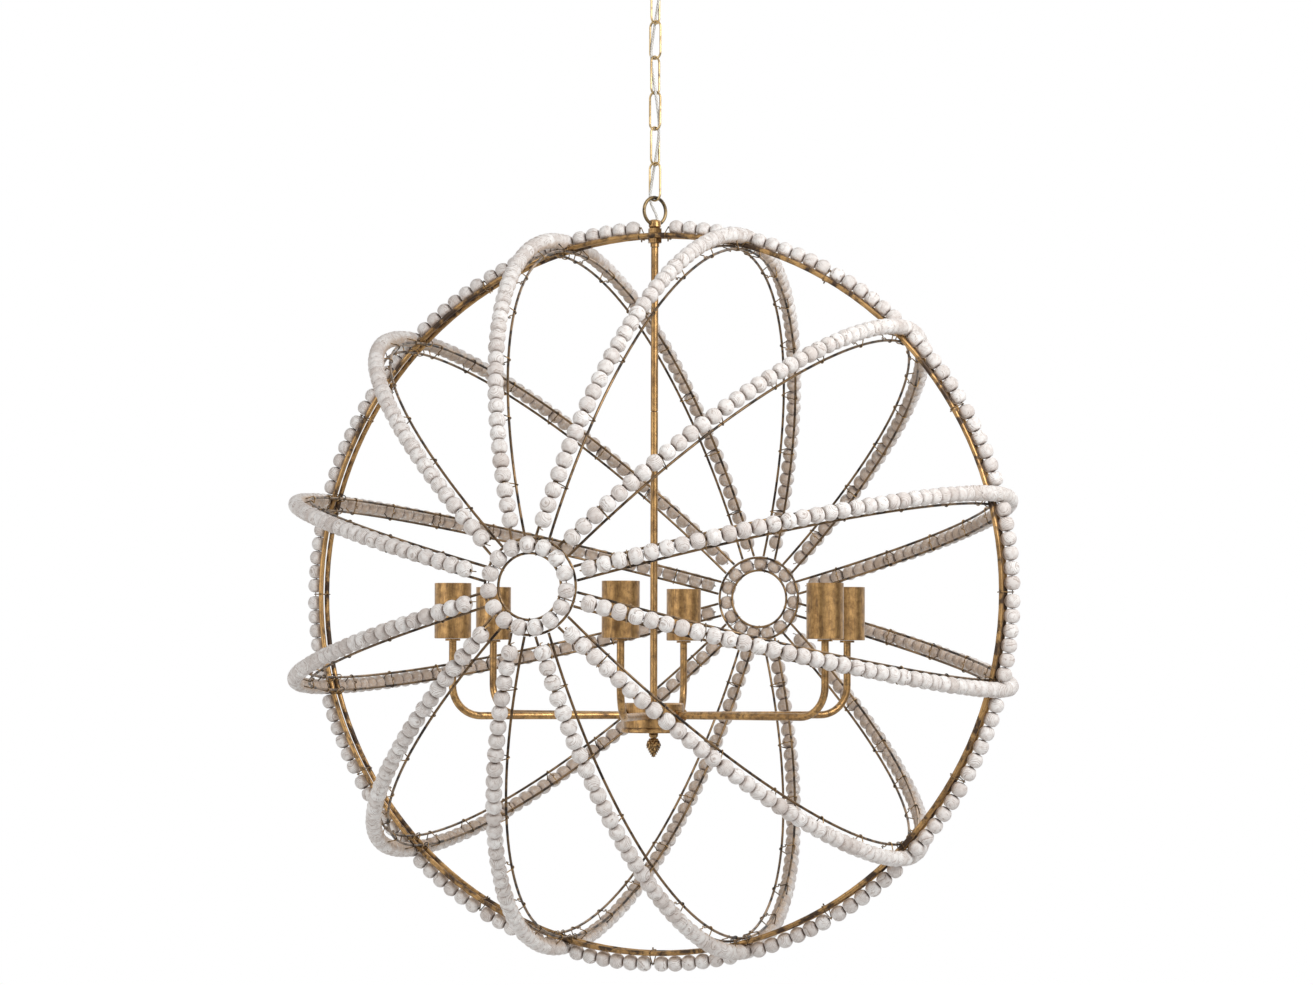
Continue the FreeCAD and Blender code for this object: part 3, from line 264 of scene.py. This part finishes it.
def make_joint_shade_and_dirt():
    """Painted shade where surfaces meet, taken from ambient occlusion, with the dirt and dark lacquer
    that gathers there.
    """
    group, given, out = new_group(
        "shade_and_dirt_in_joints",
        [("Place", "NodeSocketVector", None), ("Reach", "NodeSocketFloat", 0.004)],
        [("Mask", "NodeSocketFloat")],
    )
    closed = put(group, "ShaderNodeAmbientOcclusion", {"samples": 6}, Distance=given["Reach"])
    # The occlusion darkening is painted shade in joints and crevices, broken up as dirt.
    hidden = ramp(group, closed.outputs["AO"], low=0.85, high=0.25)
    grain = put(group, "ShaderNodeTexNoise", Vector=given["Place"], Scale=260.0, Detail=3.0)
    uneven = ramp(group, grain.outputs["Fac"], low=0.3, high=0.6, least=0.5)
    feed(group, out["Mask"], maths(group, "MULTIPLY", hidden, uneven))
    return group


def make_fine_pitting():
    """Fine unevenness of a brushed or cast skin, as a height and as a mask."""
    group, given, out = new_group(
        "fine_pitting",
        [
            ("Place", "NodeSocketVector", None),
            ("Stretch", "NodeSocketVector", EVEN),
            ("Scale", "NodeSocketFloat", 900.0),
        ],
        [("Height", "NodeSocketFloat"), ("Mask", "NodeSocketFloat")],
    )
    drawn = vector_maths(group, "MULTIPLY", given["Place"], given["Stretch"])["Vector"]
    scale = given["Scale"]
    grain = put(group, "ShaderNodeTexNoise", Vector=drawn, Scale=scale, Detail=3.0, Roughness=0.6)
    pits = put(group, "ShaderNodeTexVoronoi", Vector=given["Place"], Scale=scale)
    deep = ramp(group, pits.outputs["Distance"], low=0.05, high=0.45)
    feed(group, out["Height"], maths(group, "MULTIPLY", grain.outputs["Fac"], deep))
    feed(group, out["Mask"], ramp(group, grain.outputs["Fac"], low=0.35, high=0.65))
    return group


PATCHES = make_patches()
EDGE_RUB = make_edge_rub()
JOINT_SHADE_AND_DIRT = make_joint_shade_and_dirt()
FINE_PITTING = make_fine_pitting()


def clouds(tree, place, scale, low=0.35, high=0.7):
    """Even soft patches over a surface, as a mask."""
    return use(tree, PATCHES, Place=place, Stretch=EVEN, Scale=scale, Low=low, High=high)["Mask"]


# Materials. The tones of a metal are its bright wash, the wash where it is thin, and its dark ground


def aged_metal(name, tones, grain, gloss, streak=EVEN, streak_range=(0.46, 0.62), depth=1.0):
    """Metal washed in a bright tone over a dark one, in streaks that are partly wear and partly painted
    reflection, with rubbed edges, and painted shade with dirt in its joints.

    Grain is the width of a streak. Streak range is where in the noise a streak starts and is full, and
    depth is how dark it then is.
    """
    bright, thin, dark = tones
    material, tree, surface = new_material(name)
    place = object_place(tree)
    low, high = streak_range
    streaks = use(tree, PATCHES, Place=place, Stretch=streak, Scale=1 / grain, Low=low, High=high)["Mask"]
    edges = use(tree, EDGE_RUB, Place=place, Width=0.0008)["Mask"]
    joint_shade_and_dirt = use(tree, JOINT_SHADE_AND_DIRT, Place=place, Reach=0.004)["Mask"]
    skin = use(tree, FINE_PITTING, Place=place, Stretch=streak, Scale=1500.0)
    washed = layer(tree, bright, thin, clouds(tree, place, scale=0.3 / grain))
    # Dark streaks: partly a worn finish and partly painted reflection of dark surroundings.
    streaked = layer(tree, washed, dark, streaks, most=depth)
    specks = clouds(tree, place, scale=5 / grain, low=0.56, high=0.72)
    speckled = layer(tree, streaked, dark, specks, most=0.65)
    rubbed = layer(tree, speckled, bright, edges, most=0.8)
    # The dark ground laid over the joints is painted shade, with dirt and dark lacquer.
    feed(tree, surface.inputs["Base Color"], layer(tree, rubbed, dark, joint_shade_and_dirt, most=0.7))
    covered = maths(tree, "MAXIMUM", streaks, joint_shade_and_dirt)
    feed(tree, surface.inputs["Metallic"], across(tree, covered, least=1.0, most=0.72))
    dull = across(tree, covered, least=gloss, most=gloss + 0.16)
    uneven = maths(tree, "MULTIPLY", skin["Mask"], 0.1)
    feed(tree, surface.inputs["Roughness"], maths(tree, "ADD", dull, uneven))
    raise_skin(tree, surface, skin["Height"], strength=0.25, distance=0.0002)
    set_values(surface, {"Coat Weight": 0.15, "Coat Roughness": 0.3})
    return material


KNOT_MIDDLE = (0.0072, 0.003, 0.0045)
KNOT_REACH = 0.0019
KNOT_CORE = 0.0006
FURROW_SHARE = 0.6


def grain_arcs(tree, place):
    """Faint arcs of the wood's year rings, as a mask."""
    rings = put(
        tree,
        "ShaderNodeTexWave",
        {"wave_type": "RINGS", "rings_direction": "Z"},
        Vector=place,
        Scale=190.0,
        Distortion=3.0,
        Detail=2.0,
        Detail_Scale=1.5,
    )
    arcs = ramp(tree, rings.outputs["Fac"], low=0.62, high=0.98)
    return maths(tree, "MULTIPLY", arcs, clouds(tree, place, scale=120.0, low=0.4, high=0.62))


def whitewashed_wood(name):
    """Pale washed wood, each bead in its own tone, with arcs of grain, a few knots and painted shade in
    its bore.

    The side of a bead that faces into the globe is darkened brown with painted shade.
    """
    material, tree, surface = new_material(name)
    place = attribute(tree, "grain_place", "Vector")
    thin = clouds(tree, place, scale=190.0, low=0.42, high=0.72)
    arcs = grain_arcs(tree, place)
    from_knot = vector_maths(tree, "DISTANCE", place, KNOT_MIDDLE)["Value"]
    knot = ramp(tree, from_knot, low=KNOT_REACH, high=KNOT_CORE)
    # Painted shade: the inner side of each bead is darkened brown, in blotches.
    inner = ramp(tree, attribute(tree, "inner_side"), low=0.15, high=0.75)
    blotches = across(tree, clouds(tree, place, scale=260.0, low=0.25, high=0.6), least=0.15, most=0.8)
    inner_shade = maths(tree, "MULTIPLY", inner, blotches)
    joint_shade_and_dirt = use(tree, JOINT_SHADE_AND_DIRT, Place=place, Reach=0.005)["Mask"]
    washed = layer(tree, rgb(0.74, 0.68, 0.64), rgb(0.96, 0.935, 0.91), attribute(tree, "tone"))
    bare = layer(tree, washed, rgb(0.52, 0.42, 0.37), thin, most=0.5)
    grained = layer(tree, bare, rgb(0.34, 0.25, 0.20), arcs, most=0.65)
    knotted = layer(tree, grained, rgb(0.13, 0.085, 0.06), knot, most=0.8)
    inner_shaded = layer(tree, knotted, rgb(0.63, 0.475, 0.35), inner_shade)
    # Painted shade where the beads meet one another and the wires.
    joint_shaded = layer(tree, inner_shaded, rgb(0.25, 0.165, 0.12), joint_shade_and_dirt, most=0.8)
    # Painted shade inside the bore of each bead.
    bore_shaded = layer(tree, joint_shaded, rgb(0.12, 0.075, 0.05), attribute(tree, "bore"))
    feed(tree, surface.inputs["Base Color"], bore_shaded)
    feed(tree, surface.inputs["Roughness"], across(tree, thin, least=0.92, most=0.72))
    set_values(surface, {"Specular IOR Level": 0.3})
    chalk = use(tree, FINE_PITTING, Place=place, Stretch=EVEN, Scale=1100.0)["Height"]
    furrows = maths(tree, "MULTIPLY", arcs, FURROW_SHARE)
    sunk = maths(tree, "ADD", furrows, knot)
    raise_skin(tree, surface, maths(tree, "SUBTRACT", chalk, sunk), strength=0.5, distance=0.0004)
    return material


def clear_cord(name):
    """A clear sheath over twisted wires."""
    material, tree, surface = new_material(name)
    place = object_place(tree)
    twist = put(
        tree,
        "ShaderNodeTexWave",
        {"wave_type": "BANDS", "bands_direction": "DIAGONAL"},
        Vector=place,
        Scale=160.0,
        Distortion=1.0,
        Detail=1.0,
    )
    strands = ramp(tree, twist.outputs["Fac"], low=0.2, high=0.8)
    cloud = clouds(tree, place, scale=70.0)
    wires = layer(tree, rgb(0.40, 0.37, 0.33), rgb(0.68, 0.66, 0.62), strands)
    feed(tree, surface.inputs["Base Color"], layer(tree, wires, rgb(0.74, 0.73, 0.71), cloud, most=0.4))
    feed(tree, surface.inputs["Roughness"], across(tree, cloud, least=0.22, most=0.4))
    set_values(surface, {"Coat Weight": 0.5, "Coat Roughness": 0.12})
    raise_skin(tree, surface, strands, strength=0.2, distance=0.0003)
    return material


def glazed_holder(name):
    """Smooth off-white holder with a light mottle, and painted shade with dust in its corners."""
    material, tree, surface = new_material(name)
    place = object_place(tree)
    cloud = clouds(tree, place, scale=90.0)
    joint_shade_and_dirt = use(tree, JOINT_SHADE_AND_DIRT, Place=place, Reach=0.006)["Mask"]
    glaze = layer(tree, rgb(0.76, 0.73, 0.66), rgb(0.68, 0.64, 0.56), cloud)
    # Painted shade, with dust, darkening its corners.
    feed(tree, surface.inputs["Base Color"], layer(tree, glaze, rgb(0.36, 0.31, 0.25), joint_shade_and_dirt, most=0.6))
    feed(tree, surface.inputs["Roughness"], across(tree, cloud, least=0.25, most=0.4))
    skin = use(tree, FINE_PITTING, Place=place, Stretch=EVEN, Scale=700.0)["Height"]
    raise_skin(tree, surface, skin, strength=0.1, distance=0.0002)
    return material


GOLD = (rgb(0.49, 0.29, 0.112), rgb(0.25, 0.14, 0.055), rgb(0.05, 0.027, 0.012))
FINIAL_GOLD = (rgb(0.50, 0.31, 0.13), rgb(0.16, 0.09, 0.035), rgb(0.035, 0.02, 0.01))
RING_GOLD = (rgb(0.50, 0.30, 0.12), rgb(0.26, 0.15, 0.06), rgb(0.06, 0.035, 0.02))
RIB_BRONZE = (rgb(0.27, 0.17, 0.085), rgb(0.11, 0.07, 0.038), rgb(0.03, 0.02, 0.014))
HUB_BRONZE = (rgb(0.36, 0.23, 0.11), rgb(0.15, 0.09, 0.045), rgb(0.035, 0.022, 0.015))
TIE_BRONZE = (rgb(0.42, 0.26, 0.11), rgb(0.15, 0.09, 0.04), rgb(0.03, 0.02, 0.012))
CHAIN_BRASS = (rgb(0.66, 0.50, 0.27), rgb(0.40, 0.27, 0.12), rgb(0.07, 0.042, 0.02))
LOOP_BRONZE = (rgb(0.34, 0.24, 0.12), rgb(0.16, 0.11, 0.055), rgb(0.04, 0.028, 0.016))
ZINC = (rgb(0.60, 0.59, 0.56), rgb(0.45, 0.44, 0.42), rgb(0.20, 0.18, 0.15))
LIGHT_STREAKS = {"streak_range": (0.42, 0.72), "depth": 0.75}
BRUSHED_STREAKS = {"streak_range": (0.36, 0.8), "depth": 0.6}

# The vertical dark streaks on the brushed cups are partly painted reflection.
cup_gold = aged_metal("cup_gold", GOLD, grain=0.0024, gloss=0.3, streak=BRUSHED, **BRUSHED_STREAKS)
arm_gold = aged_metal("arm_gold", GOLD, grain=0.006, gloss=0.25, **LIGHT_STREAKS)
stem_gold = aged_metal("stem_gold", GOLD, grain=0.004, gloss=0.25, streak=BRUSHED, **LIGHT_STREAKS)
canopy_gold = aged_metal("canopy_gold", GOLD, grain=0.014, gloss=0.34)
finial_gold = aged_metal("finial_gold", FINIAL_GOLD, grain=0.003, gloss=0.3)
ring_gold = aged_metal("ring_gold", RING_GOLD, grain=0.02, gloss=0.34)
rib_bronze = aged_metal("rib_bronze", RIB_BRONZE, grain=0.016, gloss=0.34)
hub_bronze = aged_metal("hub_bronze", HUB_BRONZE, grain=0.012, gloss=0.34)
tie_bronze = aged_metal("tie_bronze", TIE_BRONZE, grain=0.006, gloss=0.36)
chain_brass = aged_metal("chain_brass", CHAIN_BRASS, grain=0.012, gloss=0.28, streak_range=(0.52, 0.75))
loop_bronze = aged_metal("loop_bronze", LOOP_BRONZE, grain=0.008, gloss=0.32)
zinc = aged_metal("zinc", ZINC, grain=0.01, gloss=0.35)
washed_wood = whitewashed_wood("washed_wood")

SLOT_FINISHES = {
    "dark_wire": rib_bronze,
    "ring_metal": ring_gold,
    "washed_wood": washed_wood,
    "aged_gold": stem_gold,
    "chain_brass": chain_brass,
    "plain_steel": zinc,
    "holder_ceramic": glazed_holder("holder_glaze"),
    "cord_plastic": clear_cord("clear_cord"),
}
OWN_FINISHES = {
    "candle_cups": cup_gold,
    "centre_body": cup_gold,
    "arms": arm_gold,
    "bottom_plate": arm_gold,
    "canopy": canopy_gold,
    "canopy_loop": canopy_gold,
    "finial": finial_gold,
    "top_loop": loop_bronze,
    "bead_strings": tie_bronze,
    "rib_ties": tie_bronze,
    "ring_ties": tie_bronze,
    "crossing_bindings": tie_bronze,
    "hub_ring_front": hub_bronze,
    "hub_ring_rear": hub_bronze,
}


def dress_nodes():
    """Gives each CAD node its own finish, or else that of its material slot."""
    for part in frame["record"]["subparts"]:
        name = part["node"]
        finish = OWN_FINISHES.get(name, SLOT_FINISHES[part["material_slot"]])
        piece = cad_nodes[name]
        if not piece.material_slots:
            piece.data.materials.append(finish)
        for held in piece.material_slots:
            held.material = finish


dress_nodes()

# Mesh helpers


def mesh_of(name, made):
    """The mesh of a finished bmesh."""
    mesh = bpy.data.meshes.new(name)
    made.to_mesh(mesh)
    made.free()
    return mesh


def new_piece(name, mesh, finish):
    mesh.materials.append(finish)
    piece = bpy.data.objects.new(name, mesh)
    scene.collection.objects.link(piece)
    return piece


def smooth(mesh):
    mesh.polygons.foreach_set("use_smooth", [True] * len(mesh.polygons))


def around(made, sides, radius, height):
    """New points set evenly in a ring about the axis of a bmesh."""
    turns = [2 * math.pi * side / sides for side in range(sides)]
    return [made.verts.new((radius * math.cos(turn), radius * math.sin(turn), height)) for turn in turns]


# Beads. Shares are of the bead's own size, and those of the bore of its radius and the half length

BEAD_RADIUS = 0.0099
BEAD_HALF = 0.008625
BORE_RADIUS = 0.0015
BEAD_SIDES = 22
BEAD_ROUND_STEPS = 6
BORE_SHARES = ((1.0, 0.80), (1.18, 0.95), (1.75, 1.0))
BORE_MARK_SHARE = 1.3
ROUND_START_SHARE = 0.985
WIDTH_SHARES = (0.955, 0.998)
DEPTH_SHARES = (0.985, 1.0)
LENGTH_SHARES = (0.985, 0.999)
LUMP_SHARE = 0.02
TONE_MEAN = 0.62
TONE_SPREAD = 0.26
GRAIN_OFFSETS = (0.0, 0.05, 0.1, 0.2)
BEAD_SEED = 5
BEAD_ROWS = {
    "rib_beads_1": "washed_beads_ribs_1",
    "rib_beads_2": "washed_beads_ribs_2",
    "rib_beads_3": "washed_beads_ribs_3",
    "rib_beads_4": "washed_beads_ribs_4",
    "ring_beads": "washed_beads_ring",
    "hub_beads": "washed_beads_hubs",
}


def bead_outline():
    """Half a bead's section as (radius, height): up its bore, over its soft rim, down its round side."""
    outline = [(BORE_RADIUS, 0.0)]
    outline += [(BORE_RADIUS * wide, BEAD_HALF * high) for wide, high in BORE_SHARES]
    start = math.acos(ROUND_START_SHARE * BEAD_HALF / BEAD_RADIUS)
    for step in range(1, BEAD_ROUND_STEPS + 1):
        angle = start + (math.pi / 2 - start) * step / BEAD_ROUND_STEPS
        outline.append((BEAD_RADIUS * math.sin(angle), BEAD_RADIUS * math.cos(angle)))
    return outline + [(radius, -height) for radius, height in reversed(outline[1:-1])]


def turned_bead():
    """A bead turned about Z: its points, its faces, and 1 at each point of its bore."""
    outline = bead_outline()
    made = bmesh.new()
    rings = [around(made, BEAD_SIDES, radius, height) for radius, height in outline]
    for low, high in zip(rings, rings[1:] + rings[:1]):
        for side in range(BEAD_SIDES):
            other = (side + 1) % BEAD_SIDES
            made.faces.new((low[side], low[other], high[other], high[side]))
    bmesh.ops.recalc_face_normals(made, faces=made.faces)
    made.verts.index_update()
    points = np.array([point.co for point in made.verts])
    faces = np.array([[point.index for point in face.verts] for face in made.faces])
    made.free()
    bore = np.hypot(points[:, 0], points[:, 1]) < BORE_MARK_SHARE * BORE_RADIUS
    return points, faces, bore.astype(float)


def joined_corners(edges, count):
    """For each corner, the lowest number among the corners that edges join it to."""
    label = np.arange(count)
    while True:
        before = label.copy()
        lowest = np.minimum(label[edges[:, 0]], label[edges[:, 1]])
        np.minimum.at(label, edges[:, 0], lowest)
        np.minimum.at(label, edges[:, 1], lowest)
        label = label[label]
        if (label == before).all():
            return label


def bead_places(node):
    """The middle and the axis of each bead of a CAD node, found from its mesh's separate shells."""
    mesh = node.data
    points = np.empty(len(mesh.vertices) * 3, np.float32)
    mesh.vertices.foreach_get("co", points)
    points = points.reshape(-1, 3).astype(float)
    edges = np.empty(len(mesh.edges) * 2, np.int64)
    mesh.edges.foreach_get("vertices", edges)
    _, corner = np.unique(np.round(points, 6), axis=0, return_inverse=True)
    corner = corner.ravel()
    shell = joined_corners(corner[edges.reshape(-1, 2)], corner.max() + 1)[corner]
    found = []
    for key in np.unique(shell):
        own = points[shell == key]
        middle = (own.min(0) + own.max(0)) / 2
        spread, ways = np.linalg.eigh(np.cov((own - middle).T))
        single = 0 if spread[1] - spread[0] > spread[2] - spread[1] else 2
        found.append((middle, ways[:, single]))
    return sorted(found, key=lambda bead: tuple(np.round(bead[0], 4)))


def uneven_bead(points, bore, chance):
    """A turned bead a little narrower, shorter and lumpier, at a chance turn about its axis."""
    spin = np.array(Matrix.Rotation(chance.uniform(0, 2 * math.pi), 3, "Z"))
    width = chance.uniform(*WIDTH_SHARES)
    depth = width * chance.uniform(*DEPTH_SHARES)
    length = chance.uniform(*LENGTH_SHARES)
    lumps = [chance.uniform(-1, 1) for _ in range(4)]
    x, y, z = (points / BEAD_RADIUS).T
    swell = lumps[0] * x * z + lumps[1] * y * x + lumps[2] * y * z
    kept = 1 - LUMP_SHARE * np.abs(swell + 0.5 * lumps[3])
    return (points * (width, depth, length) * (kept ** (1 - bore))[:, None]) @ spin.T


def grain_places(points, chance):
    """Where in the wood a bead was cut, so that each shows other grain, and only some a knot."""
    angle = chance.uniform(0, math.pi)
    axis = Vector([chance.gauss(0, 1) for _ in range(3)]).normalized()
    tilt = np.array(Matrix.Rotation(angle, 3, axis))
    return points @ tilt.T + (chance.choice(GRAIN_OFFSETS), 0.0, 0.0)


def mark_points(mesh, name, kind, values):
    """Keeps a value or a vector at each point of a mesh, for its material."""
    held = mesh.attributes.new(name, kind, "POINT")
    field = "vector" if kind == "FLOAT_VECTOR" else "value"
    held.data.foreach_set(field, np.concatenate(values).ravel().astype(np.float32))


def string_beads(node_name, piece_name, chance):
    """A row of beads, each in the place of one of the CAD node's."""
    points, faces, bore = turned_bead()
    beads, grain, tones, inner_sides = [], [], [], []
    for middle, axis in bead_places(cad_nodes[node_name]):
        turn = np.array(Vector(axis).to_track_quat("Z", "Y").to_matrix())
        bead = uneven_bead(points, bore, chance) @ turn.T
        inward = np.array((GLOBE_CENTRE - Vector(middle)).normalized())
        beads.append(bead + middle)
        inner_sides.append(np.clip(bead @ inward / BEAD_RADIUS, 0, 1))
        grain.append(grain_places(points, chance))
        tones.append(np.full(len(points), min(1.0, max(0.0, chance.gauss(TONE_MEAN, TONE_SPREAD)))))
    mesh = bpy.data.meshes.new(piece_name)
    all_faces = np.concatenate([faces + len(points) * number for number in range(len(beads))])
    mesh.from_pydata(np.concatenate(beads).tolist(), [], all_faces.tolist())
    mark_points(mesh, "tone", "FLOAT", tones)
    mark_points(mesh, "bore", "FLOAT", [bore] * len(beads))
    mark_points(mesh, "inner_side", "FLOAT", inner_sides)
    mark_points(mesh, "grain_place", "FLOAT_VECTOR", grain)
    smooth(mesh)
    piece = new_piece(piece_name, mesh, washed_wood)
    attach(piece, "fixture")
    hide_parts(node_name)


bead_chance = random.Random(BEAD_SEED)
for node_name, piece_name in BEAD_ROWS.items():
    string_beads(node_name, piece_name, bead_chance)

# Finial

CONE_RADIUS = 0.0088
CONE_HEIGHT = 0.0235
CONE_STEPS = 16
CONE_WIDEST_SHARE = 0.62
CONE_POINT_POWER = 0.85
CORE_SHARE = 0.9
NECK_RADIUS = 0.0056
NECK_HEIGHT = 0.0062
NECK_SHOULDER_SHARE = 0.4
NECK_JOINT_RADIUS = 0.7 * NECK_RADIUS
STUD_RADIUS = 0.0024
STUD_LENGTH = 0.016
FINIAL_SIDES = 28
SCALE_ROWS = 8
SCALES_IN_ROW = 9
SCALE_SIZE = Vector((0.0009, 0.0024, 0.0026))
SCALE_LEAN = math.radians(-14)
SCALE_SEAT_SHARE = 0.93
SMALLEST_SCALE_SHARE = 0.55
FIRST_ROW_SHARE = 0.1
ROWS_SPAN_SHARE = 0.8


def cone_radius(share):
    """Half width of the cone at a share of its height, from its tip to its neck."""
    if share < CONE_WIDEST_SHARE:
        return CONE_RADIUS * (share / CONE_WIDEST_SHARE) ** CONE_POINT_POWER
    fall = math.cos((share - CONE_WIDEST_SHARE) / (1 - CONE_WIDEST_SHARE) * math.pi / 2)
    return NECK_JOINT_RADIUS + (CONE_RADIUS - NECK_JOINT_RADIUS) * fall


def turn_outline(made, outline):
    """Turns an outline of (radius, height) about the stem, both its ends on the axis."""
    first = made.verts.new((0, 0, outline[0][1]))
    last = made.verts.new((0, 0, outline[-1][1]))
    rings = [around(made, FINIAL_SIDES, radius, height) for radius, height in outline[1:-1]]
    for side in range(FINIAL_SIDES):
        other = (side + 1) % FINIAL_SIDES
        made.faces.new((first, rings[0][side], rings[0][other]))
        made.faces.new((last, rings[-1][other], rings[-1][side]))
        for low, high in zip(rings, rings[1:]):
            made.faces.new((low[side], high[side], high[other], low[other]))


def set_scales(made, tip):
    """Rows of small leaning scales about the cone, each row turned half a scale from the last."""
    lean = Matrix.Rotation(SCALE_LEAN, 4, "Y")
    for row in range(SCALE_ROWS):
        share = FIRST_ROW_SHARE + ROWS_SPAN_SHARE * row / (SCALE_ROWS - 1)
        radius = SCALE_SEAT_SHARE * cone_radius(share)
        size = SCALE_SIZE * (SMALLEST_SCALE_SHARE + (1 - SMALLEST_SCALE_SHARE) * radius / CONE_RADIUS)
        place = Matrix.Translation((radius, 0, tip + CONE_HEIGHT * share))
        seat = place @ lean @ Matrix.Diagonal((*size, 1))
        for number in range(SCALES_IN_ROW):
            turn = Matrix.Rotation(2 * math.pi * (number + row % 2 / 2) / SCALES_IN_ROW, 4, "Z")
            bmesh.ops.create_icosphere(made, subdivisions=2, radius=1, matrix=turn @ seat)


def scaled_finial():
    """A cone of small scales, point down, under its neck, with the stud that holds it."""
    node = cad_nodes["finial"]
    stud_top = max((node.matrix_world @ point.co).z for point in node.data.vertices)
    neck_top = stud_top - STUD_LENGTH
    neck_bottom = neck_top - NECK_HEIGHT
    tip = neck_bottom - CONE_HEIGHT
    shares = [step / CONE_STEPS for step in range(1, CONE_STEPS + 1)]
    outline = [(0, tip)]
    outline += [(CORE_SHARE * cone_radius(share), tip + CONE_HEIGHT * share) for share in shares]
    outline += [(NECK_RADIUS, neck_bottom + NECK_SHOULDER_SHARE * NECK_HEIGHT), (NECK_RADIUS, neck_top)]
    outline += [(STUD_RADIUS, neck_top), (STUD_RADIUS, stud_top), (0, stud_top)]
    made = bmesh.new()
    turn_outline(made, outline)
    set_scales(made, tip)
    bmesh.ops.recalc_face_normals(made, faces=made.faces)
    mesh = mesh_of("scaled_finial", made)
    smooth(mesh)
    piece = new_piece("scaled_finial", mesh, finial_gold)
    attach(piece, "fixture")
    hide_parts("finial")


scaled_finial()

# Room and lights

FLOOR_LEVEL = -2.4
FLOOR_RADIUS = 6.0
FLOOR_SIDES = 128
FLOOR_GLOW_SHARE = 0.7
ROOM_LIGHT = 0.42
ROOM_SHOWN = 1.0


def seen_straight(tree):
    """1 for a ray from the camera, off gloss or through glass, and 0 for light on a dull surface."""
    path = put(tree, "ShaderNodeLightPath")
    sharp = maths(tree, "MAXIMUM", path.outputs["Is Glossy Ray"], path.outputs["Is Transmission Ray"])
    return maths(tree, "MAXIMUM", path.outputs["Is Camera Ray"], sharp)


def mix_shaders(tree, amount, first, second):
    choice = tree.nodes.new("ShaderNodeMixShader")
    feed(tree, choice.inputs[0], amount)
    feed(tree, choice.inputs[1], first.outputs[0])
    feed(tree, choice.inputs[2], second.outputs[0])
    return choice.outputs[0]


def make_room():
    """White all round, and a gentler light from it on the chandelier."""
    world = bpy.data.worlds.new("white_room")
    world.use_nodes = True
    tree = world.node_tree
    tree.nodes.clear()
    lighting = put(tree, "ShaderNodeBackground", Color=WHITE, Strength=ROOM_LIGHT)
    shown = put(tree, "ShaderNodeBackground", Color=WHITE, Strength=ROOM_SHOWN)
    put(tree, "ShaderNodeOutputWorld", Surface=mix_shaders(tree, seen_straight(tree), lighting, shown))
    scene.world = world


def pale_floor_finish():
    """Pale paint that is seen nearly white and still takes the chandelier's shadow."""
    material, tree, surface = new_material("pale_floor")
    cloud = clouds(tree, object_place(tree), scale=3.0, low=0.3)
    paint = layer(tree, rgb(0.86, 0.86, 0.855), rgb(0.83, 0.83, 0.825), cloud)
    feed(tree, surface.inputs["Base Color"], paint)
    set_values(surface, {"Roughness": 0.8})
    glow = put(tree, "ShaderNodeEmission", Color=WHITE, Strength=ROOM_SHOWN)
    seen = maths(tree, "MULTIPLY", seen_straight(tree), FLOOR_GLOW_SHARE)
    feed(tree, tree.nodes["Material Output"].inputs["Surface"], mix_shaders(tree, seen, surface, glow))
    return material


def lay_floor():
    made = bmesh.new()
    bmesh.ops.create_circle(made, cap_ends=True, segments=FLOOR_SIDES, radius=FLOOR_RADIUS)
    floor = new_piece("floor", mesh_of("floor", made), pale_floor_finish())
    floor.location = (0, 0, FLOOR_LEVEL)


def face_globe(thing, place, front):
    """Sets a thing right, away and up from the globe's middle, its front towards it."""
    thing.location = from_photo(place)
    thing.rotation_euler = (GLOBE_CENTRE - thing.location).to_track_quat(front, "Y").to_euler()


def dark_cloth():
    material, tree, surface = new_material("dark_cloth")
    cloud = clouds(tree, object_place(tree), scale=2.0, low=0.3)
    weave = layer(tree, rgb(0.035, 0.03, 0.026), rgb(0.05, 0.044, 0.038), cloud)
    feed(tree, surface.inputs["Base Color"], weave)
    set_values(surface, {"Roughness": 0.95})
    return material


def dark_panel(name, place, width, height, finish):
    """A dark panel beside the camera that only polished metal mirrors."""
    made = bmesh.new()
    shape = Matrix.Diagonal((width, height, 1, 1))
    bmesh.ops.create_grid(made, x_segments=1, y_segments=1, size=0.5, matrix=shape)
    panel = new_piece(name, mesh_of(name, made), finish)
    face_globe(panel, place, "Z")
    for kind in ("camera", "diffuse", "transmission", "volume_scatter", "shadow"):
        setattr(panel, "visible_" + kind, False)


def soft_light(name, place, size, watts):
    """A large soft square light."""
    lamp = bpy.data.lights.new(name, "AREA")
    lamp.size = size
    lamp.energy = watts
    light = bpy.data.objects.new(name, lamp)
    face_globe(light, place, "-Z")
    scene.collection.objects.link(light)


make_room()
lay_floor()
cloth = dark_cloth()
dark_panel("dark_panel_left", (-1.7, -3.2, 0.0), width=1.5, height=3.4, finish=cloth)
dark_panel("dark_panel_right", (3.4, -0.6, 0.0), width=1.3, height=3.4, finish=cloth)
dark_panel("dark_panel_below", (0.0, -1.6, -1.5), width=2.4, height=0.7, finish=cloth)
soft_light("key_light", (1.25, -1.5, 1.15), size=1.3, watts=34)
soft_light("fill_light", (-2.0, -1.6, 0.2), size=1.8, watts=14)
soft_light("rim_light", (1.2, 2.2, 1.4), size=1.6, watts=16)
